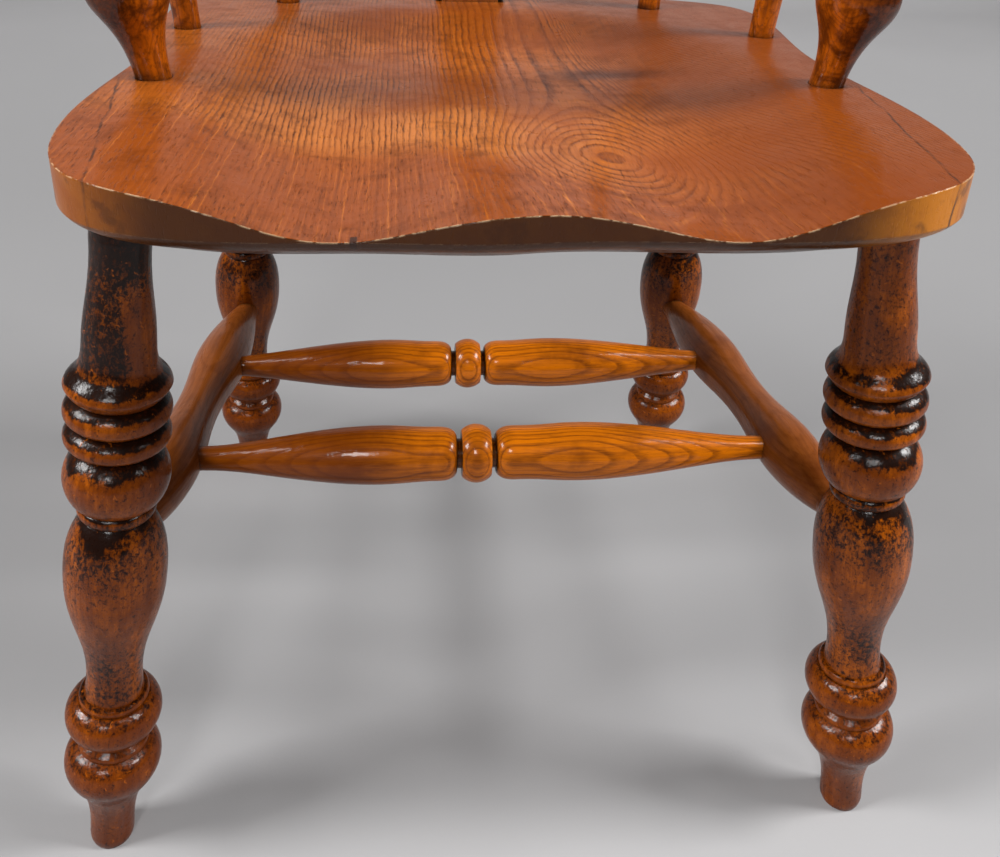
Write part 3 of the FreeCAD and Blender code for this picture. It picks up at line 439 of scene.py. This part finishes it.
def seat_rings(recipe, place, look):
    """Dark and light ring lines of the seat's top, which fan out to the right and close into ovals.

    The distance is the root of across squared plus depth squared. Across is measured from the ovals, with a
    lean that grows to the right. Depth squared is least at the ovals and level away from them.
    """
    wide = recipe.drift(recipe.scaled(place, 1.0, 0.45, 1.0), 26.0, 0.005)
    small = recipe.drift(recipe.scaled(place, 1.0, 0.7, 1.0), 150.0, 0.002, detail=3.0)
    moved = recipe.vector("ADD", recipe.vector("ADD", place, wide), small)
    x, y, _ = recipe.parts(moved)
    across = recipe.minus(x, look.knot_right)
    along = recipe.plus(y, look.knot_forward)
    leaned = across
    for _ in range(2):
        lean = recipe.between(leaned, *FAN_REACH, 0.0, RING_FAN)
        leaned = recipe.plus(across, recipe.times(lean, along))
    level = recipe.minus(1.0, hill(recipe, along, OVAL_LENGTH))
    level = recipe.times(level, hill(recipe, leaned, OVAL_WIDTH))
    depth = recipe.plus(HEART_DEPTH * HEART_DEPTH, recipe.times(level, DEPTH_RISE * DEPTH_RISE))
    away = recipe.sum("SQRT", recipe.plus(recipe.times(leaned, leaned), depth))
    saw = ring_saw(recipe, away, look.ring_width)
    pale = recipe.between(recipe.size(recipe.minus(saw, PALE_WOOD)), 0.0, PALE_HALF, 1.0, 0.0)
    return late_wood(recipe, saw), pale


def worn_front(recipe, x, y, cloud):
    """1 on the worn red front of the seat, which reaches further back on the left than on the right."""
    front = recipe.plus(y, recipe.between(x, *WORN_TURN, 0.0, WORN_STEP))
    front = recipe.plus(front, recipe.times(recipe.minus(cloud, 0.5), 0.05))
    return recipe.between(front, *WORN_EDGE, 1.0, 0.0)


def painted_sheen_place(recipe, x, y):
    """Where the painted sheen lightens the seat: a band behind the worn front, strongest left of the middle.
    """
    band = recipe.times(recipe.between(y, *SHEEN_BACK), recipe.between(y, *SHEEN_FRONT))
    across = recipe.between(recipe.size(x), *SHEEN_HALF, 0.0, 0.6)
    return recipe.times(band, across, recipe.between(x, *SHEEN_RIGHT, 0.3, 1.0))


def seat_top(recipe, place, look, cloud, patch):
    """Colour of the seat's top, and its ring lines and pores."""
    x, y, _ = recipe.parts(place)
    fine = recipe.noise(recipe.scaled(place, 1000.0, 120.0, 300.0), 1.0, detail=3.0, rough=0.65)
    pore = recipe.between(fine, 0.54, 0.72)
    streak = recipe.noise(recipe.scaled(place, 420.0, 7.0, 60.0), 1.0, detail=4.0, rough=0.65)
    strong = recipe.noise(recipe.scaled(place, 70.0, 9.0, 9.0), 1.0, detail=2.0)
    worn = worn_front(recipe, x, y, cloud)
    ring, pale = seat_rings(recipe, place, look)
    line = recipe.times(
        ring,
        recipe.between(fine, 0.3, 0.7, 0.45, 1.0),
        recipe.between(worn, 0.0, 1.0, 1.0, 0.3),
        recipe.between(strong, 0.38, 0.6, 0.7, 1.0),
        recipe.between(x, *RINGS_LEFT, 0.35, 1.0),
    )
    flow = recipe.times(recipe.between(streak, 0.6, 0.72), recipe.between(worn, 0.0, 1.0, 0.12, 0.4))
    tint = recipe.layered(
        look.wood,
        # Painted sheen of light reflected in the dish
        (painted_sheen_place(recipe, x, y), look.painted_sheen),
        (recipe.times(worn, 0.85), look.front),
        (recipe.between(streak, 0.5, 0.28, 0.0, 0.35), look.ring),
        (flow, look.streak),
        (recipe.times(pale, recipe.between(streak, 0.48, 0.68, 0.05, 0.5)), look.streak),
        (line, look.ring),
        (recipe.times(pore, 0.7), look.ring),
        (recipe.between(patch, 0.46, 0.7, 0.0, 0.45), look.ring),
        (recipe.between(cloud, 0.42, 0.66, 0.0, 0.75), look.front),
        (recipe.between(x, *RED_RIGHT, 0.0, 0.7), look.front),
        (recipe.between(x, *DARK_RIGHT, 0.0, 0.2), look.ring),
        # Painted shadow of an arm post
        (painted_post_shadow(recipe, place), look.ring),
    )
    return tint, line, pore


def seat_face(recipe, place, look, patch, rim):
    """Colour of the seat's upright edge: golden at the front corners, nearly black between and below."""
    x, y, z = recipe.parts(place)
    off_middle = recipe.size(recipe.minus(x, DARK_MIDDLE))
    blotch = recipe.noise(place, 60.0, detail=4.0, rough=0.6)
    high = recipe.minus(z, rim)
    return recipe.layered(
        look.face,
        (recipe.between(patch, 0.42, 0.66, 0.0, 0.45), look.front),
        (recipe.between(x, *RED_CORNER, 0.0, 0.65), look.front),
        (recipe.between(y, *FRONT_END, 0.0, 0.9), look.wood),
        (recipe.between(off_middle, *DARK_HALF, 0.95, 0.0), look.shade),
        # Darker towards the bottom of the upright edge
        (recipe.between(high, *FACE_LOWER_DARK, 0.75, 0.0), look.shade),
        (recipe.between(blotch, 0.55, 0.68, 0.0, 0.5), look.shade),
    )


def seat_material(node):
    """Elm: ring lines that fade to the worn red front, a dark upright edge, and the seams of the strips."""
    look = bpy.context.scene.seat_finish
    recipe = Recipe("elm_" + node)
    place = recipe.step("TexCoord").outputs["Object"]
    x, y, z = recipe.parts(place)
    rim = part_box("seat_board")[1].z
    cloud = recipe.noise(place, 11.0, detail=4.0, rough=0.62)
    patch = recipe.noise(place, 42.0, detail=5.0, rough=0.7, warp=0.4)
    top, line, pore = seat_top(recipe, place, look, cloud, patch)
    face = seat_face(recipe, place, look, patch, rim)
    tint = recipe.mixed(recipe.between(up_facing(recipe), 0.3, 0.7, 1.0, 0.0), top, face)

    seam, beside = seam_line(recipe, x, y, place)
    edge, true_normal, differ = rounded_edge(recipe, EDGE_RADIUS, 6)
    # The top front edge painted lighter: partly wear, partly a painted highlight
    wear_and_highlight = recipe.times(
        recipe.between(differ, 0.03, 0.2),
        recipe.between(recipe.minus(z, rim), *EDGE_WEAR_AND_HIGHLIGHT_DEPTH),
        recipe.between(recipe.noise(place, 170.0, detail=3.0, rough=0.7), 0.44, 0.56),
        beside,
        recipe.between(y, *reversed(FRONT_END)),
    )
    tint = recipe.layered(
        tint,
        # Painted shade in the seat's corners and where posts and spindles meet it
        (painted_shade(recipe, 0.008, 0.3, 0.8), look.shade),
        # Worn top edge with a painted highlight
        (recipe.times(wear_and_highlight, 0.62), look.wear_and_highlight),
        (seam, look.shade),
        (edge_nick(recipe, x, y), look.shade),
    )
    rough = recipe.between(patch, 0.25, 0.8, 0.26, 0.46)
    relief = recipe.minus(recipe.minus(cloud, recipe.times(pore, 0.09)), recipe.times(line, 0.1))
    normal = recipe.turned(beside, true_normal, edge)
    return recipe.finished(
        tint, rough, relief, depth=0.0011, polish=0.32, polish_rough=0.14, normal=normal, shine=WOOD_SHINE
    )


def painted_post_shadow(recipe, place):
    """A painted shadow of an arm post, with a torn rim, wider than it is deep, strongest in its middle."""
    torn = recipe.vector("ADD", place, recipe.drift(place, 60.0, 0.02, detail=4.0))
    arm = recipe.vector("SUBTRACT", torn, (*SHADOW_PLACE, 0.0))
    arm = recipe.scaled(arm, 1.0 / SHADOW_REACH[0], 1.0 / SHADOW_REACH[1], 0.0)
    return recipe.between(recipe.vector("LENGTH", arm), 0.1, 1.0, 0.8, 0.0)


def edge_nick(recipe, x, y):
    """A short dark slot knocked into the front top edge of the seat."""
    slot = recipe.between(recipe.size(recipe.minus(x, NICK_X)), *NICK_HALF, 1.0, 0.0)
    return recipe.times(slot, recipe.between(y, *NICK_DEPTH))


def seam_line(recipe, x, y, place):
    """Dark hair lines where the side strips are glued on, and 0 on a line with 1 well beside it."""
    low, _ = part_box("seat_strip_right")
    across = recipe.minus(recipe.size(x), low.x)
    back = recipe.minus(y, low.y)
    off = recipe.minus(recipe.times(across, math.cos(SEAM_SLANT)), recipe.times(back, math.sin(SEAM_SLANT)))
    wander = recipe.times(recipe.minus(recipe.noise(place, 32.0, detail=4.0), 0.5), 0.006)
    gap = recipe.size(recipe.plus(off, wander))
    line = recipe.times(
        recipe.between(gap, *SEAM_HALF, 0.85, 0.0),
        recipe.between(y, *SEAM_END),
        recipe.between(recipe.noise(place, 70.0, detail=3.0), 0.35, 0.6, 0.1, 1.0),
    )
    return line, recipe.between(recipe.size(off), *SEAM_CLEAR)


def polish_and_shade_on_leg(recipe, node, x, z, cloud):
    """How dark a leg is: black polish on top of rings, on the vase and at the head, painted shade in the
    grooves, and the painted shadow of the seat just under it.
    """
    ragged = recipe.times(recipe.minus(cloud, 0.5), 0.9)
    facing = recipe.between(recipe.plus(up_facing(recipe), ragged), 0.42, 0.62)
    facing = recipe.times(facing, recipe.between(z, *RING_TOPS, 0.4, 0.95))
    head, under_seat_shadow = HEAD_POLISH_AND_SEAT_SHADOW.get(node, OTHER_HEADS_AND_SEAT_SHADOW)
    middle, _ = grain_line(node)
    beside = recipe.size(recipe.minus(x, middle.x + HEAD_BAND_X))
    band = recipe.between(beside, *HEAD_BAND_HALF, 0.05, 1.0)
    high = recipe.times(recipe.between(z, *LEG_HEAD), band, head)
    # Painted shadow of the seat on the top of the leg
    high = recipe.sum("MAXIMUM", high, recipe.between(z, *UNDER_SEAT_SHADOW, 0.0, under_seat_shadow))
    vase = recipe.plus(
        recipe.times(recipe.within(z, *VASE_TOP), 0.55),
        recipe.times(recipe.within(z, *VASE_FOOT), 0.4),
    )
    amount = recipe.times(vase, recipe.between(cloud, 0.35, 0.6, 0.6, 1.25))
    amount = recipe.plus(recipe.plus(amount, high), facing)
    # Painted shade in the grooves of the turning
    return recipe.plus(amount, recipe.times(painted_shade(recipe, 0.006, 0.2, 0.5), 0.5))


def leg_material(node, seed):
    """Stained beech: orange where it was worn, brown in streaks, nearly black where polish is left, and
    painted shade in the grooves and just under the seat.
    """
    look = bpy.context.scene.turnery_finish
    recipe = Recipe("beech_" + node)
    place, seeded = grain_place(recipe, node, seed)
    x, _, z = recipe.parts(place)
    streak = streaks(recipe, seeded, 300.0, 10.0)
    pore = recipe.between(fibres(recipe, seeded, 1500.0, 90.0), 0.5, 0.7)
    cloud = recipe.noise(recipe.scaled(seeded, 1.0, 1.0, 0.6), 46.0, detail=4.0, rough=0.65)
    fleck = recipe.noise(recipe.scaled(seeded, 1.0, 1.0, 0.8), 430.0, detail=4.0, rough=0.8, warp=0.3)
    chip = recipe.noise(seeded, 260.0, detail=3.0, rough=0.6, warp=0.8)
    stain = STAIN[node.rsplit("_", 1)[1]]
    polish = polish_and_shade_on_leg(recipe, node, x, z, cloud)
    torn = recipe.plus(polish, recipe.between(fleck, 0.35, 0.65, -0.35, 0.35))
    tint = recipe.layered(
        look.leg_light,
        (recipe.between(streak, 0.3, 0.72, 0.0, 0.6), look.leg_brown),
        (recipe.times(pore, 0.4), look.leg_brown),
        (recipe.between(cloud, 0.36, 0.62, 0.0, 0.75), look.leg_brown),
        (recipe.between(fleck, 0.46, 0.6, 0.0, 0.4), look.leg_brown),
        (recipe.between(z, *FOOT_STAIN, 0.0, 0.45), look.leg_brown),
        (recipe.between(streak, 0.0, 1.0, *stain), look.leg_brown),
        # Black polish, with painted shade in the grooves and under the seat
        (recipe.between(torn, 0.1, 0.9, 0.0, 0.97), look.leg_shade),
        (recipe.between(fleck, 0.58, 0.66, 0.0, 0.75), look.leg_shade),
        (recipe.between(chip, 0.66, 0.7, 0.0, 0.5), look.leg_light),
    )
    rough = recipe.between(fleck, 0.3, 0.7, 0.24, 0.42)
    relief = recipe.plus(cloud, recipe.times(fleck, 0.1))
    return recipe.finished(
        tint, rough, relief, depth=0.0011, polish=0.3, polish_rough=0.12, shine=WOOD_SHINE
    )


def rail_material(node, seed, heart, lean, plain):
    """Ash: growth rings wider than the stretcher, seen as lines with long nested ovals on one side.

    A plain stretcher is the darker side wood with faint lines, and its left end isn't stained.
    """
    look = bpy.context.scene.turnery_finish
    recipe = Recipe("ash_" + node)
    place, seeded = grain_place(recipe, node, seed)
    wood = look.side_wood if plain else look.rail_light
    figure = 0.35 if plain else 0.8
    left_stain = 0.0 if plain else 0.8
    away = from_heart(recipe, place, node, heart, lean, wander=0.0028)
    ring = late_wood(recipe, ring_saw(recipe, away, look.ring_width))
    streak = streaks(recipe, seeded, 420.0, 9.0)
    fine = fibres(recipe, seeded, 1600.0, 90.0)
    cloud = recipe.noise(seeded, 24.0, detail=4.0, rough=0.62)
    line = recipe.times(ring, recipe.between(fine, 0.3, 0.65, 0.45, 0.9))
    tint = recipe.layered(
        wood,
        (recipe.between(streak, 0.4, 0.7, 0.0, 0.45), look.rail_dark),
        (recipe.times(line, figure), look.rail_dark),
        (recipe.between(fine, 0.55, 0.72, 0.0, 0.35), look.rail_dark),
        (recipe.between(cloud, 0.46, 0.7, 0.0, 0.55), look.leg_brown),
        (recipe.between(recipe.parts(place)[0], *LEFT_STAIN, 0.0, left_stain), look.leg_brown),
        # Painted shade in the grooves and at the joints
        (painted_shade(recipe, 0.008, 0.3, 0.8), look.leg_shade),
    )
    rough = recipe.between(streak, 0.3, 0.7, 0.26, 0.42)
    relief = recipe.minus(cloud, recipe.times(line, 0.06))
    return recipe.finished(
        tint, rough, relief, depth=0.0009, polish=0.34, polish_rough=0.12, shine=WOOD_SHINE
    )


def post_material(node, seed):
    """Bright polished beech with fine stripes and a dark curling figure; the arm posts are dark outside."""
    look = bpy.context.scene.turnery_finish
    recipe = Recipe("figured_" + node)
    place, seeded = grain_place(recipe, node, seed)
    x, _, z = recipe.parts(place)
    away = from_heart(recipe, place, node, POST_HEART, POST_LEAN, wander=0.016, reach=30.0)
    ring = late_wood(recipe, ring_saw(recipe, away, look.post_ring_width))
    streak = streaks(recipe, seeded, 380.0, 14.0)
    cloud = recipe.noise(seeded, 38.0, detail=4.0, rough=0.62, warp=0.7)
    fleck = recipe.noise(seeded, 300.0, detail=4.0, rough=0.75, warp=0.4)
    facing = recipe.between(up_facing(recipe), 0.05, 0.6, 0.0, 0.85)
    outward = recipe.plus(recipe.size(x), recipe.times(cloud, 0.024))
    outer = recipe.between(outward, *POST_OUTER, 0.0, OUTER_POLISH if node in POSTS else 0.0)
    tint = recipe.layered(
        look.post_light,
        (recipe.times(ring, 0.4), look.post_dark),
        (recipe.between(streak, 0.4, 0.7, 0.0, 0.55), look.post_dark),
        (recipe.between(cloud, 0.5, 0.64, 0.0, 0.85), look.post_dark),
        (recipe.between(fleck, 0.5, 0.64, 0.0, 0.5), look.post_dark),
        (recipe.between(z, *HIGH_STAIN, 0.0, 0.6), look.leg_brown),
        (outer, look.post_dark),
        (recipe.times(outer, recipe.between(fleck, 0.4, 0.6, 0.0, 0.6)), look.leg_shade),
        # Dark polish on the upward faces, and painted shade in the hollows
        (recipe.sum("MAXIMUM", facing, painted_shade(recipe, 0.01)), look.leg_shade),
    )
    rough = recipe.between(streak, 0.3, 0.7, 0.22, 0.38)
    return recipe.finished(
        tint, rough, cloud, depth=0.0008, polish=0.45, polish_rough=0.08, shine=WOOD_SHINE
    )


def bow_material(node, seed):
    """Elm for the flat sawn pieces: arms, crest rail and splat."""
    look = bpy.context.scene.seat_finish
    recipe = Recipe("sawn_elm_" + node)
    place, seeded = grain_place(recipe, node, seed)
    away = from_heart(recipe, place, node, SAWN_HEART, SAWN_LEAN, wander=0.012)
    ring = late_wood(recipe, ring_saw(recipe, away, look.ring_width))
    fine = fibres(recipe, seeded, 1300.0, 90.0)
    streak = streaks(recipe, seeded, 320.0, 9.0)
    cloud = recipe.noise(place, 16.0, detail=4.0, rough=0.6)
    edge, _, differ = rounded_edge(recipe, SAWN_EDGE_RADIUS, 4)
    tint = recipe.layered(
        look.wood,
        (recipe.between(streak, 0.5, 0.28, 0.0, 0.4), look.ring),
        (recipe.times(ring, recipe.between(fine, 0.3, 0.7, 0.3, 0.65)), look.ring),
        (recipe.between(fine, 0.55, 0.72, 0.0, 0.35), look.ring),
        (recipe.between(cloud, 0.42, 0.7, 0.0, 0.6), look.front),
        # Painted shade in the hollows and joints
        (painted_shade(recipe, 0.012), look.shade),
        # Pale edges: partly wear, partly a painted highlight
        (recipe.between(differ, 0.03, 0.2, 0.0, 0.5), look.streak),
    )
    rough = recipe.between(streak, 0.3, 0.7, 0.26, 0.42)
    relief = recipe.minus(cloud, recipe.times(fine, 0.05))
    return recipe.finished(tint, rough, relief, depth=0.001, polish=0.5, polish_rough=0.14, normal=edge)


def wedge_material(node, seed):
    """End grain of the driven wedges, dark with polish."""
    look = bpy.context.scene.turnery_finish
    recipe = Recipe("wedge_" + node)
    _, seeded = grain_place(recipe, node, seed)
    grain = recipe.noise(seeded, 900.0, detail=3.0, rough=0.6)
    tint = recipe.mixed(recipe.between(grain, 0.3, 0.7), look.leg_brown, look.post_light)
    return recipe.finished(
        tint, recipe.between(grain, 0.3, 0.7, 0.4, 0.6), grain, depth=0.0002, polish=0.3, polish_rough=0.2
    )


def steel_material(node):
    """Plain steel screws, dulled and a little rusty."""
    recipe = Recipe("steel_" + node)
    place = recipe.step("TexCoord").outputs["Object"]
    rust = recipe.between(recipe.noise(place, 700.0, detail=4.0, rough=0.7), 0.5, 0.7)
    tint = recipe.mixed(rust, (0.4, 0.39, 0.37), (0.16, 0.07, 0.03))
    material = recipe.finished(
        tint, recipe.between(rust, 0.0, 1.0, 0.35, 0.75), rust, depth=0.0001, polish=0.0, polish_rough=0.1
    )
    shader = next(n for n in recipe.tree.nodes if n.type == "BSDF_PRINCIPLED")
    shader.inputs["Metallic"].default_value = 0.9
    return material


def dress(node, material):
    """Gives a node of the frame its finish, in every slot that it has."""
    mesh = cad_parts[node].data
    if not mesh.materials:
        mesh.materials.append(material)
    for index in range(len(mesh.materials)):
        mesh.materials[index] = material


class ARMCHAIR_OT_seat(bpy.types.Operator):
    """Finish the seat board and its two side strips"""

    bl_idname = "armchair.finish_seat"
    bl_label = "Finish the seat"

    def execute(self, context):
        for node in SEAT:
            dress(node, seat_material(node))
        return {"FINISHED"}


class ARMCHAIR_OT_legs(bpy.types.Operator):
    """Finish the four turned legs"""

    bl_idname = "armchair.finish_legs"
    bl_label = "Finish the legs"

    def execute(self, context):
        for seed, node in enumerate(LEGS):
            dress(node, leg_material(node, seed + 1.0))
        return {"FINISHED"}


class ARMCHAIR_OT_stretchers(bpy.types.Operator):
    """Finish the cross stretchers and the side stretchers"""

    bl_idname = "armchair.finish_stretchers"
    bl_label = "Finish the stretchers"

    def execute(self, context):
        for seed, node in enumerate(CROSS_STRETCHERS):
            dress(node, rail_material(node, seed + 3.0, CROSS_HEART, NO_LEAN, plain=False))
        for seed, node in enumerate(SIDE_STRETCHERS):
            dress(node, rail_material(node, seed + 6.0, SIDE_HEART, SIDE_LEAN, plain=True))
        return {"FINISHED"}


class ARMCHAIR_OT_posts(bpy.types.Operator):
    """Finish the arm posts and the spindles"""

    bl_idname = "armchair.finish_posts"
    bl_label = "Finish the posts and spindles"

    def execute(self, context):
        for seed, node in enumerate(POSTS + SPINDLES):
            dress(node, post_material(node, seed + 1.0))
        return {"FINISHED"}


class ARMCHAIR_OT_bow(bpy.types.Operator):
    """Finish the arms, the crest rail and the splat"""

    bl_idname = "armchair.finish_bow"
    bl_label = "Finish the bow, crest and splat"

    def execute(self, context):
        for seed, node in enumerate(ARMS):
            dress(node, bow_material(node, seed + 1.0))
        for seed, node in enumerate(("crest_rail", "back_splat")):
            dress(node, bow_material(node, seed + 4.0))
        return {"FINISHED"}


class ARMCHAIR_OT_fastenings(bpy.types.Operator):
    """Finish the wedges in the arm posts and the crest's screws"""

    bl_idname = "armchair.finish_fastenings"
    bl_label = "Finish the wedges and screws"

    def execute(self, context):
        for seed, node in enumerate(WEDGES):
            dress(node, wedge_material(node, seed + 1.0))
        dress("crest_screws", steel_material("crest_screws"))
        return {"FINISHED"}


def lamp(name, azimuth, elevation, distance, size, power):
    """A square soft lamp at a bearing from the aim point: azimuth 0 is in front and 90 to the right."""
    data = bpy.data.lights.new(name, "AREA")
    data.shape = "RECTANGLE"
    data.size = size
    data.size_y = size
    data.energy = power
    light = bpy.data.objects.new(name, data)
    turn = math.radians(azimuth)
    rise = math.radians(elevation)
    away = Vector((math.sin(turn) * math.cos(rise), -math.cos(turn) * math.cos(rise), math.sin(rise)))
    light.location = Vector(LAMP_AIM) + away * distance
    light.rotation_euler = away.to_track_quat("Z", "Y").to_euler()
    bpy.context.scene.collection.objects.link(light)


def paper_material(settings):
    """Matt grey paper with a faint unevenness, and painted light and shade: darker under the chair, lighter
    in front and much lighter at the back.
    """
    recipe = Recipe("studio_paper")
    place = recipe.step("TexCoord").outputs["Object"]
    cloud = recipe.noise(place, 1.3, detail=3.0, rough=0.5)
    y = recipe.parts(place)[1]
    tint = recipe.layered(
        settings.floor,
        # Painted light and shade: the paper lighter in front of the chair and much lighter at the back
        (recipe.between(y, *NEAR_PAPER), settings.near_floor),
        (recipe.between(y, *FAR_PAPER), settings.far_floor),
        (recipe.between(cloud, 0.3, 0.7, 0.0, 0.12), settings.floor),
    )
    fine = recipe.noise(place, 400.0, detail=2.0, rough=0.5)
    rough = recipe.between(fine, 0.0, 1.0, 0.85, 0.95)
    return recipe.finished(tint, rough, fine, depth=0.00005, polish=0.0, polish_rough=0.5, shine=0.2)


def sweep(name, half_width, front, back, radius, height):
    """A floor that curves up into a wall: flat to the back, then a quarter circle, then upright."""
    angles = np.linspace(0.0, math.pi / 2, 25)
    y = np.concatenate([[front, 0.0], back + radius * np.sin(angles), [back + radius]])
    z = np.concatenate([[0.0, 0.0], radius * (1 - np.cos(angles)), [height]])
    x = np.array([-half_width, half_width])
    points = np.stack([np.repeat(x, len(y)), np.tile(y, 2), np.tile(z, 2)], axis=1)
    near = np.arange(len(y) - 1)
    far = near + len(y)
    faces = np.stack([near, far, far + 1, near + 1], axis=1)
    mesh = bpy.data.meshes.new(name)
    mesh.from_pydata(points.tolist(), [], faces.tolist())
    mesh.polygons.foreach_set("use_smooth", np.ones(len(faces), bool))
    mesh.update()
    piece = bpy.data.objects.new(name, mesh)
    bpy.context.scene.collection.objects.link(piece)
    return piece


class ARMCHAIR_OT_studio(bpy.types.Operator):
    """Build the paper floor, the lamps and the camera"""

    bl_idname = "armchair.build_studio"
    bl_label = "Build the studio"

    def execute(self, context):
        settings = context.scene.studio_settings
        paper = sweep("paper_sweep", half_width=4.5, front=-3.0, back=2.6, radius=0.9, height=3.4)
        paper.data.materials.append(paper_material(settings))

        for name, (azimuth, elevation, distance, size, power, share) in LAMPS.items():
            lamp(name, azimuth, elevation, distance, size, share * getattr(settings, power))

        world = bpy.data.worlds.new("studio_world")
        world.use_nodes = True
        world.node_tree.nodes["Background"].inputs["Color"].default_value = ROOM_COLOUR
        world.node_tree.nodes["Background"].inputs["Strength"].default_value = settings.sky
        context.scene.world = world

        data = bpy.data.cameras.new("photo_camera")
        data.sensor_width = 36.0
        data.lens = settings.lens
        data.shift_x, data.shift_y = CAMERA_SHIFT
        data.clip_start = 0.05
        data.clip_end = 30.0
        camera = bpy.data.objects.new("photo_camera", data)
        camera.location = CAMERA_PLACE
        camera.rotation_euler = [math.radians(v) for v in CAMERA_TURN]
        context.scene.collection.objects.link(camera)
        context.scene.camera = camera
        context.scene.view_settings.view_transform = "Standard"
        return {"FINISHED"}


class ARMCHAIR_PT_panel(bpy.types.Panel):
    """Lists the chair's finishes and the studio."""

    bl_idname = "ARMCHAIR_PT_panel"
    bl_label = "Armchair"
    bl_space_type = "VIEW_3D"
    bl_region_type = "UI"
    bl_category = "Armchair"

    def draw(self, context):
        column = self.layout.column()
        for operator in OPERATORS:
            column.operator(operator.bl_idname)
        for name in GROUPS:
            group = getattr(context.scene, name)
            box = self.layout.box()
            for setting in group.__annotations__:
                box.prop(group, setting)


OPERATORS = (
    ARMCHAIR_OT_seat,
    ARMCHAIR_OT_legs,
    ARMCHAIR_OT_stretchers,
    ARMCHAIR_OT_posts,
    ARMCHAIR_OT_bow,
    ARMCHAIR_OT_fastenings,
    ARMCHAIR_OT_studio,
)
GROUPS = {
    "seat_finish": SeatFinish,
    "turnery_finish": TurneryFinish,
    "studio_settings": StudioSettings,
}
CLASSES = (*GROUPS.values(), *OPERATORS, ARMCHAIR_PT_panel)


def register():
    """Makes the settings, operators and panel known."""
    for cls in CLASSES:
        bpy.utils.register_class(cls)
    for name, group in GROUPS.items():
        setattr(bpy.types.Scene, name, PointerProperty(type=group))


def unregister():
    """Takes them away again."""
    for name in GROUPS:
        delattr(bpy.types.Scene, name)
    for cls in reversed(CLASSES):
        bpy.utils.unregister_class(cls)


def main():
    """Builds everything in order."""
    register()
    for operator in OPERATORS:
        group, name = operator.bl_idname.split(".")
        getattr(getattr(bpy.ops, group), name)()


if __name__ == "__main__":
    main()
